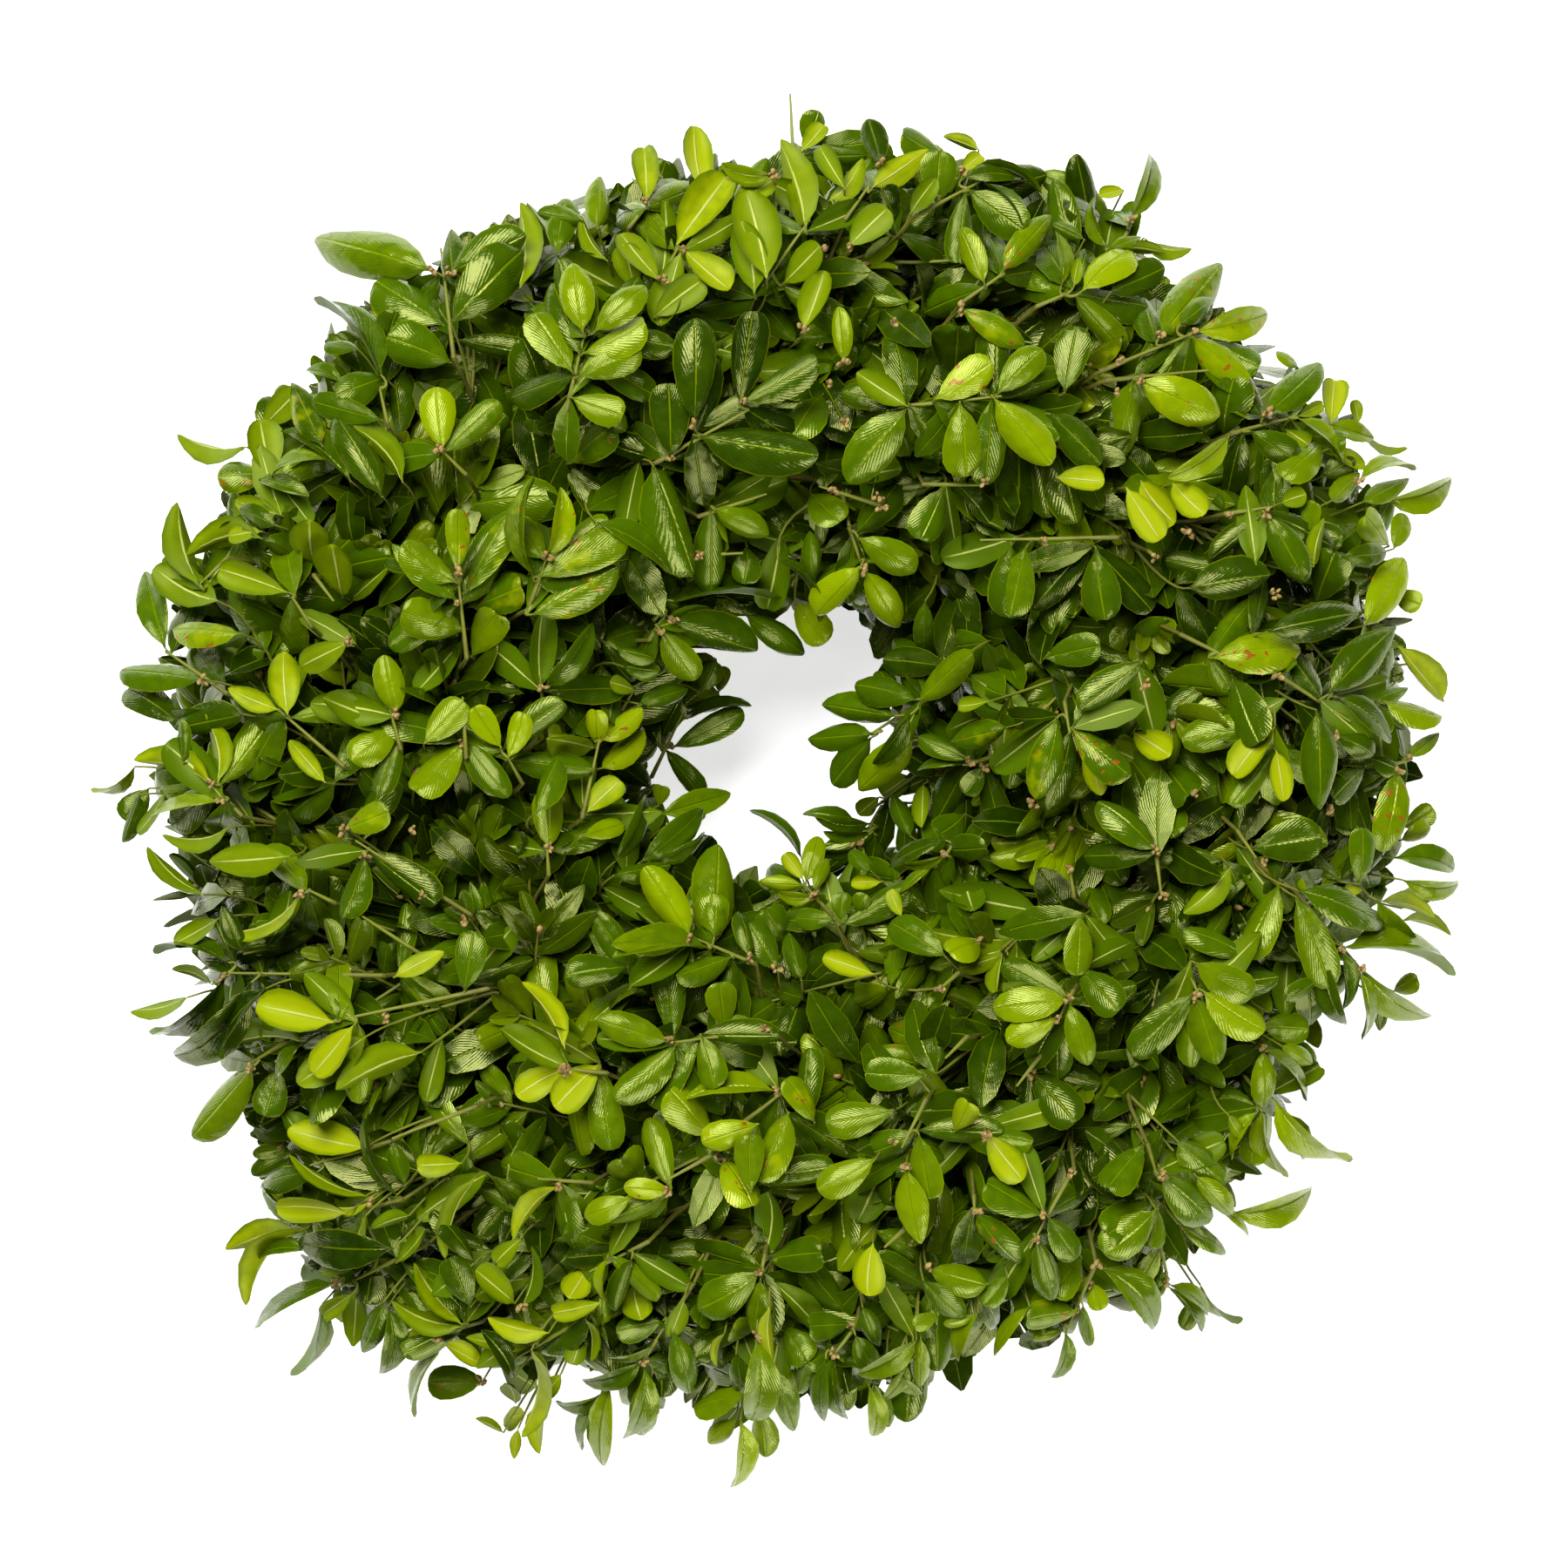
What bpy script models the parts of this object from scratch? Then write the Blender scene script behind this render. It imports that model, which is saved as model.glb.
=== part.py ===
"""A bound boxwood wreath, lying on its back as it would on a table.

A straw ring carries twelve rows of boxwood bunches. Each row has a bunch on the outer side and
one on top, every second row has one on the inner side, and a turn of one long binding wire
holds their stems down. The bunches lean clockwise, so that each row covers the next one's stems.

The shape is worked out in the ring's own terms. A heading is the clockwise angle from twelve
o'clock, seen from above. A reach and a roll are polar in the ring's section: the reach is the
distance from the middle of the straw, and the roll is 0 outwards, 90 degrees up and 180
degrees towards the hole.
"""

import math
import random
from collections import namedtuple

import bmesh
import bpy
from mathutils import Matrix, Vector
from mathutils.bvhtree import BVHTree

# Straw ring: a round section with its back pressed flat, in metres.
RING_RADIUS = 0.1075
STRAW_RADIUS = 0.0175
RING_AXIS_HEIGHT = 0.015
RING_STEPS = 36
STRAW_STEPS = 8

# Binding wire, and the furrows that it has pressed into the ring's back. Its two ends lie in
# one furrow, at the first and last shares of that run.
WIRE_RADIUS = 0.0006
WIRE_REACH = 0.0224
WIRE_BACK_HEIGHT = 0.00095
WIRE_BACK_ACROSS = 0.013
WIRE_LOW_ROLL = math.radians(-25)
WIRE_ARC_STEPS = 8
FURROW_WIDTH = 0.0019
FURROW_DEPTH = 0.0019
FURROW_OVERRUN = 0.003
WIRE_LAST_SHARE = 0.5
WIRE_FIRST_SHARE = 0.78

# Rows round the ring, and the bound stem of a bunch, which runs under the wire.
ROWS = 12
ROW_ANGLE = 2 * math.pi / ROWS
TIE_OFFSET = 0.004
TOUCH_GAP = 0.0003
ROOT_RADIUS = 0.0015
ROOT_SIDES = 5
ROOT_REACH = STRAW_RADIUS + TOUCH_GAP + ROOT_RADIUS
ROOT_START = 0.001
ROOT_LEVEL_END = 0.0075
ROOT_END = 0.017
ROOT_END_REACH = 0.0285

# A bunch's own space starts above the wire and keeps clear of its neighbours and the table.
FOLIAGE_LOW_REACH = 0.0245
CLEARANCE = 0.0009
LOWEST_LEAF = 0.0012

# The heart of a bunch, as shares of its space across, along and outwards.
HEART_CUTS = 2
HEART_SHARE = 0.54
HEART_ACROSS = 0.96
HEART_ALONG = 0.94
HEART_TAPER = 0.8
HEART_RELIEF = 0.12
HEART_EDGE_SHARE = 0.72
HEART_FOOT_SHARE = 0.02

# Foliage envelope: how far leaf tips come, from the middle of the ring or above its back.
OUTER_MEAN = 0.187
INNER_MEAN = 0.033
FOLIAGE_TOP = 0.102
ENVELOPE_POWER = 2.3

# Places where the outer edge bulges or sinks: heading in degrees, width in degrees, size.
OUTER_SWELLS = (
    (218, 13, 0.021),
    (182, 20, 0.009),
    (48, 20, 0.006),
    (350, 24, -0.005),
    (110, 24, -0.009),
)

# Places where the hole's edge comes nearer to its middle or draws back.
INNER_SWELLS = (
    (76, 13, -0.019),
    (305, 16, -0.010),
    (235, 14, -0.008),
    (35, 14, 0.006),
)

# Leaves, a little larger than life so that they cover the bunches.
LEAF_LENGTH = 0.036
LEAF_WIDTH = 0.021
LEAF_THICKNESS = 0.0012
LEAF_DOME = 0.0014
LEAF_ROOT_DEPTH = 0.0016

# Half of the leaf's outline: share of the length, and share of the half width there.
LEAF_SHOULDER = (0.3, 0.84)
LEAF_BELLY = (0.72, 0.92)
LEAF_TIP = (1.0, 0.26)
LEAF_CREST = 0.5

# How leaves vary. Each new try for a leaf that finds no room wanders further and is smaller.
LEAF_TRIES = 60
LEAF_LIFT = 0.75
LEAF_TILT = 0.5
LEAF_WANDER = 0.3
LEAF_WANDER_GROWTH = 0.6
LEAF_SHRINK = 0.35
LENGTH_RANGE = (0.85, 1.1)
WIDTH_RANGE = (0.85, 1.05)
BEND_RANGE = (-0.08, 0.16)

# Sprigs: stems that start inside the heart, with a leaf at the end and pairs behind it.
SPRIG_RADII = (0.0011, 0.0011, 0.0008)
SPRIG_SIDES = 3
SPRIG_START_SHARE = 0.34
SPRIG_END_RANGE = (0.78, 0.9)
SPRIG_SPREAD = (0.6, 0.9, 1.0)
SPRIG_STRAY = 0.055
PAIR_STEPS = (0.006, 0.021)
PAIR_AHEAD = 0.62

# Loose leaves: where they start in the heart and where they point, as shares.
LOOSE_PLACE_RANGE = (0.1, 0.9)
LOOSE_START_SHARE = 0.43
LOOSE_END_SHARE = 0.9

# Lanes of bunches. Each has its number of bunches round the ring, its rolls, its lean in
# radians for each metre of reach, its sprigs, its loose leaves and the scale of its leaves.
# A sprig is its share across and along the bunch's outer face, and its number of leaf pairs.
Lane = namedtuple("Lane", "name bunches low high lean sprigs loose_leaves leaf_scale")
LANES = (
    Lane(
        name="outer",
        bunches=ROWS,
        low=math.radians(-17),
        high=math.radians(48),
        lean=3.6,
        sprigs=((0.28, 0.14, 1), (0.74, 0.30, 1), (0.27, 0.56, 2), (0.75, 0.78, 1)),
        loose_leaves=2,
        leaf_scale=1.0,
    ),
    Lane(
        name="top",
        bunches=ROWS,
        low=math.radians(48),
        high=math.radians(124),
        lean=6.0,
        sprigs=((0.2, 0.34, 1), (0.52, 0.60, 2), (0.83, 0.36, 1)),
        loose_leaves=1,
        leaf_scale=1.0,
    ),
    Lane(
        name="inner",
        bunches=ROWS // 2,
        low=math.radians(124),
        high=math.radians(197),
        lean=6.0,
        sprigs=((0.3, 0.2, 1), (0.76, 0.3, 1), (0.3, 0.65, 2), (0.74, 0.8, 1)),
        loose_leaves=2,
        leaf_scale=0.88,
    ),
)
Cell = namedtuple("Cell", "lane start angle")

# Colours as linear red, green and blue.
STRAW_COLOUR = (0.47, 0.31, 0.11)
WIRE_COLOUR = (0.035, 0.06, 0.03)
BUNCH_COLOURS = (
    (0.045, 0.13, 0.015),
    (0.075, 0.20, 0.022),
    (0.12, 0.27, 0.030),
    (0.060, 0.16, 0.030),
)


def clear_scene():
    for thing in list(bpy.data.objects):
        bpy.data.objects.remove(thing, do_unlink=True)


def plain_material(name, colour, roughness, metallic=0.0):
    made = bpy.data.materials.new(name)
    made.use_nodes = True
    shader = made.node_tree.nodes["Principled BSDF"]
    shader.inputs["Base Color"].default_value = (*colour, 1.0)
    shader.inputs["Roughness"].default_value = roughness
    shader.inputs["Metallic"].default_value = metallic
    made.diffuse_color = (*colour, 1.0)
    return made


def object_of(name, shape, made_of=None, collection=None):
    """A new object that holds a copy of the bmesh shape, which is then freed."""
    mesh = bpy.data.meshes.new(name)
    shape.to_mesh(mesh)
    shape.free()
    if made_of:
        mesh.materials.append(made_of)
    thing = bpy.data.objects.new(name, mesh)
    (collection or bpy.context.scene.collection).objects.link(thing)
    return thing


def wreath_point(heading, reach, roll):
    radius = RING_RADIUS + reach * math.cos(roll)
    height = RING_AXIS_HEIGHT + reach * math.sin(roll)
    return Vector((radius * math.sin(heading), radius * math.cos(heading), height))


def wreath_position(point):
    """Heading, reach and roll of a point, with the roll between -90 and 270 degrees."""
    across = math.hypot(point.x, point.y) - RING_RADIUS
    up = point.z - RING_AXIS_HEIGHT
    roll = math.atan2(up, across)
    if roll < -math.pi / 2:
        roll += 2 * math.pi
    return math.atan2(point.x, point.y), math.hypot(across, up), roll


def swollen(mean, swells, heading):
    """The mean with each swell added as a smooth hump round its own heading."""
    total = mean
    for middle, width, size in swells:
        apart = math.remainder(math.degrees(heading) - middle, 360)
        total += size * math.exp(-((apart / width) ** 2))
    return total


def envelope_reach(heading, roll):
    """How far from the middle of the straw the leaf tips come, at a heading and a roll."""
    if math.cos(roll) > 0:
        across = swollen(OUTER_MEAN, OUTER_SWELLS, heading) - RING_RADIUS
    else:
        across = RING_RADIUS - swollen(INNER_MEAN, INNER_SWELLS, heading)
    up = FOLIAGE_TOP - RING_AXIS_HEIGHT
    level = (abs(math.cos(roll)) / across) ** ENVELOPE_POWER
    upright = (abs(math.sin(roll)) / up) ** ENVELOPE_POWER
    return (level + upright) ** (-1 / ENVELOPE_POWER)


def lead_angle(lane, reach):
    """How far clockwise a bunch has leaned once it has come up to a reach."""
    return lane.lean * (reach - STRAW_RADIUS)


def cell_point(cell, along, across, share):
    """A point in a bunch's own space: each share runs from 0 to 1 inside its borders.

    The envelope is read where the bunch has leaned to, which takes a few rounds to settle.
    """
    lane = cell.lane
    roll = lane.low + (lane.high - lane.low) * across
    heading = cell.start + cell.angle * along
    reach = FOLIAGE_LOW_REACH
    for _ in range(3):
        limit = envelope_reach(heading + lead_angle(lane, reach), roll)
        reach = FOLIAGE_LOW_REACH + (limit - FOLIAGE_LOW_REACH) * share
    return wreath_point(heading + lead_angle(lane, reach), reach, roll)


def is_in_cell(cell, point):
    """Whether a point lies in a bunch's own space, clear of its borders and of the table."""
    heading, reach, roll = wreath_position(point)
    lane = cell.lane
    if point.z < LOWEST_LEAF or reach < FOLIAGE_LOW_REACH:
        return False
    if reach > envelope_reach(heading, roll):
        return False
    roll_margin = CLEARANCE / reach
    if not lane.low + roll_margin < roll < lane.high - roll_margin:
        return False
    heading_margin = CLEARANCE / math.hypot(point.x, point.y)
    own = (heading - lead_angle(lane, reach) - cell.start) % (2 * math.pi)
    return heading_margin < own < cell.angle - heading_margin


def outward_at(point):
    """The direction straight away from the middle of the straw."""
    heading, _, roll = wreath_position(point)
    level = math.cos(roll)
    return Vector((level * math.sin(heading), level * math.cos(heading), math.sin(roll)))


def leaf_shape(placed, length, width, bend):
    """A closed, slightly domed blade. placed puts its root at the origin, its tip along +X."""
    shape = bmesh.new()

    def corner(along, side, lift):
        sag = bend * length * along * along
        return shape.verts.new(placed @ Vector((length * along, width / 2 * side, lift - sag)))

    root = shape.verts.new(placed @ Vector((-LEAF_ROOT_DEPTH, 0, 0)))
    outline = (LEAF_SHOULDER, LEAF_BELLY, LEAF_TIP)
    right = [corner(along, -side, 0) for along, side in outline]
    left = [corner(along, side, 0) for along, side in reversed(outline)]
    rim = [root, *right, *left]
    for lift, is_under in ((LEAF_DOME, False), (LEAF_DOME - LEAF_THICKNESS, True)):
        crest = corner(LEAF_CREST, 0, lift)
        for before, after in zip(rim, rim[1:] + rim[:1]):
            shape.faces.new((after, before, crest) if is_under else (before, after, crest))
    return shape


def rod_shape(points, radii, sides):
    """A closed faceted rod through the points, with one radius for each."""
    shape = bmesh.new()
    rings = []
    for index, point in enumerate(points):
        before = points[max(index - 1, 0)]
        after = points[min(index + 1, len(points) - 1)]
        turn = (after - before).to_track_quat("Z", "X").to_matrix()
        spokes = [2 * math.pi * side / sides for side in range(sides)]
        spots = [Vector((math.cos(spoke), math.sin(spoke), 0)) * radii[index] for spoke in spokes]
        rings.append([shape.verts.new(point + turn @ spot) for spot in spots])
    shape.faces.new(reversed(rings[0]))
    shape.faces.new(rings[-1])
    for lower, upper in zip(rings, rings[1:]):
        for side in range(sides):
            after = (side + 1) % sides
            shape.faces.new((lower[side], lower[after], upper[after], upper[side]))
    return shape


def heart_shape(cell, chance):
    """The dense dark middle of a bunch, a rough leaning block that its sprigs stand out of."""
    shape = bmesh.new()
    bmesh.ops.create_cube(shape, size=1)
    level_edges = [
        edge for edge in shape.edges if edge.verts[0].co.z * edge.verts[1].co.z > 0
    ]
    bmesh.ops.subdivide_edges(shape, edges=level_edges, cuts=HEART_CUTS, use_grid_fill=True)
    border = 0.5 - 1 / (4 * (HEART_CUTS + 1))
    for vert in shape.verts:
        is_crown = vert.co.z > 0
        is_edge = max(abs(vert.co.x), abs(vert.co.y)) > border
        spread = HEART_TAPER if is_crown else 1.0
        across = 0.5 + HEART_ACROSS * spread * vert.co.x
        along = 0.5 + HEART_ALONG * spread * vert.co.y
        share = HEART_FOOT_SHARE
        if is_crown:
            share = HEART_SHARE * (HEART_EDGE_SHARE if is_edge else 1)
            share += chance.uniform(-HEART_RELIEF, HEART_RELIEF)
        vert.co = cell_point(cell, along, across, share)
        vert.co.z = max(vert.co.z, LOWEST_LEAF + CLEARANCE)
    bmesh.ops.recalc_face_normals(shape, faces=shape.faces)
    bmesh.ops.triangulate(shape, faces=shape.faces)
    return shape


def root_points(cell):
    """The bunch's stem: flat under the wire, then up into the heart."""
    roll = (cell.lane.low + cell.lane.high) / 2
    run = (
        (ROOT_START, ROOT_REACH),
        (ROOT_LEVEL_END, ROOT_REACH),
        (ROOT_END, ROOT_END_REACH),
    )
    return [wreath_point(cell.start + arc / RING_RADIUS, reach, roll) for arc, reach in run]


def stray(chance, most):
    """A vector with each of its parts drawn between minus most and most."""
    return Vector([chance.uniform(-most, most) for _ in range(3)])


def leaf_placement(root, along, facing):
    """Matrix for a leaf at root whose length runs along, its upper side towards facing."""
    ahead = along.normalized()
    side = facing.cross(ahead).normalized()
    up = ahead.cross(side)
    turn = Matrix((ahead, side, up)).transposed()
    return Matrix.Translation(root) @ turn.to_4x4()


def fitted_leaf(cell, root, along, chance, taken):
    """Draws leaves at root until one stays in the cell and crosses none of those taken."""
    outward = outward_at(root) + Vector((0, 0, LEAF_LIFT))
    for attempt in range(LEAF_TRIES):
        trouble = attempt / LEAF_TRIES
        wander = stray(chance, LEAF_WANDER + LEAF_WANDER_GROWTH * trouble)
        facing = outward + stray(chance, LEAF_TILT)
        scale = cell.lane.leaf_scale * (1 - LEAF_SHRINK * trouble)
        length = LEAF_LENGTH * scale * chance.uniform(*LENGTH_RANGE)
        width = LEAF_WIDTH * scale * chance.uniform(*WIDTH_RANGE)
        placed = leaf_placement(root, along + wander, facing)
        shape = leaf_shape(placed, length, width, chance.uniform(*BEND_RANGE))
        if all(is_in_cell(cell, vert.co) for vert in shape.verts):
            tree = BVHTree.FromBMesh(shape)
            if not any(tree.overlap(other) for other in taken):
                taken.append(tree)
                return shape
        shape.free()
    return None


def opened(share, spread):
    """A share drawn in towards the middle of the bunch: a spread of 1 leaves it as it is."""
    return 0.5 + (share - 0.5) * spread


def sprig_points(cell, across, along, end_share):
    """A sprig's stem: it leaves the heart and leans with its cell out to its share."""
    shares = (SPRIG_START_SHARE, (HEART_SHARE + end_share) / 2, end_share)
    return [
        cell_point(cell, opened(along, spread), opened(across, spread), share)
        for share, spread in zip(shares, SPRIG_SPREAD)
    ]


def sprig_leaves(cell, points, pairs, chance, taken):
    """The end leaf of a sprig and the opposite pairs behind it, as far as they find room."""
    ahead = (points[2] - points[1]).normalized()
    sideways = outward_at(points[2]).cross(ahead).normalized()
    starts = [(points[2], ahead)]
    for step_back in PAIR_STEPS[:pairs]:
        node = points[2] - ahead * step_back
        for hand in (-1, 1):
            starts.append((node, ahead * PAIR_AHEAD + sideways * hand))
    leaves = [fitted_leaf(cell, root, along, chance, taken) for root, along in starts]
    return [leaf for leaf in leaves if leaf]


def loose_leaf(cell, chance, taken):
    """A leaf of the short shoots inside, which stands straight out of the heart."""
    across = chance.uniform(*LOOSE_PLACE_RANGE)
    along = chance.uniform(*LOOSE_PLACE_RANGE)
    root = cell_point(
        cell, opened(along, HEART_TAPER), opened(across, HEART_TAPER), LOOSE_START_SHARE
    )
    tip = cell_point(cell, along, across, LOOSE_END_SHARE)
    return fitted_leaf(cell, root, tip - root, chance, taken)


def leafy_pieces(cell, chance, heart_tree):
    """Shapes of a bunch's sprigs, each stem with its leaves, and of its loose leaves."""
    pieces = []
    taken = [heart_tree]
    for across, along, pairs in cell.lane.sprigs:
        across += chance.uniform(-SPRIG_STRAY, SPRIG_STRAY)
        along += chance.uniform(-SPRIG_STRAY, SPRIG_STRAY)
        points = sprig_points(cell, across, along, chance.uniform(*SPRIG_END_RANGE))
        pieces.append(rod_shape(points, SPRIG_RADII, SPRIG_SIDES))
        pieces.extend(sprig_leaves(cell, points, pairs, chance, taken))
    grown = taken[1:]
    for _ in range(cell.lane.loose_leaves):
        leaf = loose_leaf(cell, chance, grown)
        if leaf:
            pieces.append(leaf)
    return pieces


def is_closed(mesh):
    shape = bmesh.new()
    shape.from_mesh(mesh)
    sound = bool(shape.faces) and all(len(edge.link_faces) == 2 for edge in shape.edges)
    shape.free()
    return sound


def applied_boolean(target, others, operation, solver):
    """The mesh that the Boolean of a target and a collection gives."""
    change = target.modifiers.new("fuse", "BOOLEAN")
    change.operation = operation
    change.operand_type = "COLLECTION"
    change.collection = others
    change.solver = solver
    bpy.context.view_layer.update()
    graph = bpy.context.evaluated_depsgraph_get()
    mesh = bpy.data.meshes.new_from_object(target.evaluated_get(graph))
    target.modifiers.remove(change)
    return mesh


def largest_body(mesh):
    """Drops every loose scrap and every sealed hollow, and leaves the one largest body."""
    shape = bmesh.new()
    shape.from_mesh(mesh)
    bmesh.ops.triangulate(shape, faces=shape.faces)
    unseen = set(shape.faces)
    bodies = []
    while unseen:
        front = [unseen.pop()]
        body = set(front)
        while front:
            face = front.pop()
            for edge in face.edges:
                for near in edge.link_faces:
                    if near in unseen:
                        unseen.remove(near)
                        body.add(near)
                        front.append(near)
        bodies.append(body)
    keep = max(bodies, key=len)
    scrap = [face for body in bodies if body is not keep for face in body]
    bmesh.ops.delete(shape, geom=scrap, context="FACES")
    shape.to_mesh(mesh)
    shape.free()


def combine(target, others, operation):
    """Applies one Boolean of a whole collection to the target, then removes the collection."""
    made = applied_boolean(target, others, operation, "EXACT")
    if not is_closed(made):
        made = applied_boolean(target, others, operation, "MANIFOLD")
    largest_body(made)
    target.data = made
    for thing in list(others.objects):
        bpy.data.objects.remove(thing, do_unlink=True)
    bpy.data.collections.remove(others)


def helper_collection(name):
    made = bpy.data.collections.new(name)
    bpy.context.scene.collection.children.link(made)
    return made


def make_bunch(lane, place, made_of):
    """One bunch: heart, bound stem, sprigs and leaves, fused into one solid."""
    chance = random.Random(f"{lane.name} {place}")
    angle = 2 * math.pi / lane.bunches
    cell = Cell(lane, place * angle, angle)
    name = f"{lane.name}_bunch_{place + 1:02d}"
    heart = heart_shape(cell, chance)
    heart_tree = BVHTree.FromBMesh(heart)
    bunch = object_of(name, heart, made_of)
    pieces = leafy_pieces(cell, chance, heart_tree)
    pieces.append(rod_shape(root_points(cell), [ROOT_RADIUS] * 3, ROOT_SIDES))
    repeats = helper_collection("repeats")
    for index, piece in enumerate(pieces):
        object_of(f"repeat_{index}", piece, collection=repeats)
    combine(bunch, repeats, "UNION")
    return bunch


def tie_heading(row):
    return row * ROW_ANGLE + TIE_OFFSET / RING_RADIUS


def back_run(row):
    """Ends of the wire's run across the back, from the hole's side to the outer side."""
    from_heading = tie_heading(row)
    to_heading = tie_heading(row + 1)
    ends = []
    for heading, across in ((from_heading, -WIRE_BACK_ACROSS), (to_heading, WIRE_BACK_ACROSS)):
        radius = RING_RADIUS + across
        ends.append(Vector((radius * math.sin(heading), radius * math.cos(heading), 0)))
    return ends


def furrow_shape(row):
    start, end = back_run(row)
    ahead = (end - start).normalized()
    shape = bmesh.new()
    bmesh.ops.create_cube(shape, size=1)
    length = (end - start).length + 2 * FURROW_OVERRUN
    size = (length, FURROW_WIDTH, 2 * FURROW_DEPTH)
    bmesh.ops.scale(shape, vec=size, verts=shape.verts)
    turn = Matrix.Rotation(math.atan2(ahead.y, ahead.x), 4, "Z")
    placed = Matrix.Translation((start + end) / 2) @ turn
    bmesh.ops.transform(shape, matrix=placed, verts=shape.verts)
    return shape


def straw_section():
    """Points of the ring's section: a circle whose lowest part is pressed flat."""
    corner = math.asin(RING_AXIS_HEIGHT / STRAW_RADIUS)
    sweep = math.pi + 2 * corner
    rolls = [-corner + sweep * step / STRAW_STEPS for step in range(STRAW_STEPS + 1)]
    return [wreath_point(0, STRAW_RADIUS, roll) for roll in rolls]


def make_straw_ring(made_of):
    shape = bmesh.new()
    verts = [shape.verts.new(point) for point in straw_section()]
    loop = [shape.edges.new(pair) for pair in zip(verts, verts[1:] + verts[:1])]
    bmesh.ops.spin(
        shape,
        geom=verts + loop,
        cent=(0, 0, 0),
        axis=(0, 0, 1),
        angle=2 * math.pi,
        steps=RING_STEPS,
        use_merge=True,
    )
    bmesh.ops.recalc_face_normals(shape, faces=shape.faces)
    ring = object_of("straw_ring", shape, made_of)
    furrows = helper_collection("furrows")
    for row in range(ROWS):
        object_of(f"furrow_{row}", furrow_shape(row), collection=furrows)
    combine(ring, furrows, "DIFFERENCE")
    return ring


def wire_points():
    """The wire's path: radially over each row of stems, then slantwise across the back."""
    lift = Vector((0, 0, WIRE_BACK_HEIGHT))
    start, end = back_run(ROWS - 1)
    points = [start.lerp(end, WIRE_FIRST_SHARE) + lift, end + lift]
    sweep = math.pi - 2 * WIRE_LOW_ROLL
    for row in range(ROWS):
        for step in range(WIRE_ARC_STEPS + 1):
            roll = WIRE_LOW_ROLL + sweep * step / WIRE_ARC_STEPS
            points.append(wreath_point(tie_heading(row), WIRE_REACH, roll))
        start, end = back_run(row)
        is_last = row == ROWS - 1
        points.append(start + lift)
        points.append(start.lerp(end, WIRE_LAST_SHARE if is_last else 1) + lift)
    return points


def make_binding_wire(made_of):
    curve = bpy.data.curves.new("binding_wire", "CURVE")
    curve.dimensions = "3D"
    curve.bevel_depth = WIRE_RADIUS
    curve.bevel_resolution = 0
    curve.use_fill_caps = True
    spline = curve.splines.new("POLY")
    points = wire_points()
    spline.points.add(len(points) - 1)
    for knot, point in zip(spline.points, points):
        knot.co = (*point, 1)
    curve.materials.append(made_of)
    wire = bpy.data.objects.new("binding_wire", curve)
    bpy.context.scene.collection.objects.link(wire)
    return wire


def centre_on_origin(things):
    """Hangs everything on one empty that puts the middle of the wreath's box at the origin."""
    bpy.context.view_layer.update()
    corners = [Vector(corner) for thing in things for corner in thing.bound_box]
    middle = [
        (min(corner[axis] for corner in corners) + max(corner[axis] for corner in corners)) / 2
        for axis in range(2)
    ]
    wreath = bpy.data.objects.new("wreath", None)
    bpy.context.scene.collection.objects.link(wreath)
    wreath.location = (-middle[0], -middle[1], 0)
    for thing in things:
        thing.parent = wreath


def main():
    clear_scene()
    straw = plain_material("straw", STRAW_COLOUR, 0.85)
    wire = plain_material("painted_wire", WIRE_COLOUR, 0.45, 0.6)
    greens = [
        plain_material(f"boxwood_{index + 1}", colour, 0.4)
        for index, colour in enumerate(BUNCH_COLOURS)
    ]
    things = [make_straw_ring(straw), make_binding_wire(wire)]
    pick = random.Random("greens")
    for lane in LANES:
        for place in range(lane.bunches):
            things.append(make_bunch(lane, place, pick.choice(greens)))
    centre_on_origin(things)


main()
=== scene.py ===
"""Looks of a bound boxwood wreath: fresh sprigs with opposite leaves, wired on a straw ring.

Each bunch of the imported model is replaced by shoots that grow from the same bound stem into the
same space. The shape is worked out in the ring's own terms. A heading is the clockwise angle
from twelve o'clock, seen from above. A reach and a roll are polar in the ring's section: the
reach is the distance from the middle of the straw, and the roll is 0 outwards, 90 degrees up
and 180 degrees towards the hole.
"""

import math
import random
from collections import namedtuple

import bmesh
import bpy
from bpy.props import FloatProperty, FloatVectorProperty, IntProperty, PointerProperty
from mathutils import Matrix, Vector, noise


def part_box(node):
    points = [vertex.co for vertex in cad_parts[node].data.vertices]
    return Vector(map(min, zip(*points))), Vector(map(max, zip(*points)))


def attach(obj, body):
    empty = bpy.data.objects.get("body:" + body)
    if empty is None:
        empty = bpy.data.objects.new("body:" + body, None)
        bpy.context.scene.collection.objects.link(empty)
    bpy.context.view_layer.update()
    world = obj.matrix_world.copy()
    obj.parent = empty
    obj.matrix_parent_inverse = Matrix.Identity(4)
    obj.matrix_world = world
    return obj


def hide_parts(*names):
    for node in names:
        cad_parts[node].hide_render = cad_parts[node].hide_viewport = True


bl_info = {
    "name": "Boxwood Wreath",
    "version": (1, 0, 0),
    "blender": (4, 5, 0),
    "location": "3D View > Sidebar > Wreath",
    "description": "Dresses a packed wreath with boxwood shoots, a straw ring and wire",
    "category": "Object",
}

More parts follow.
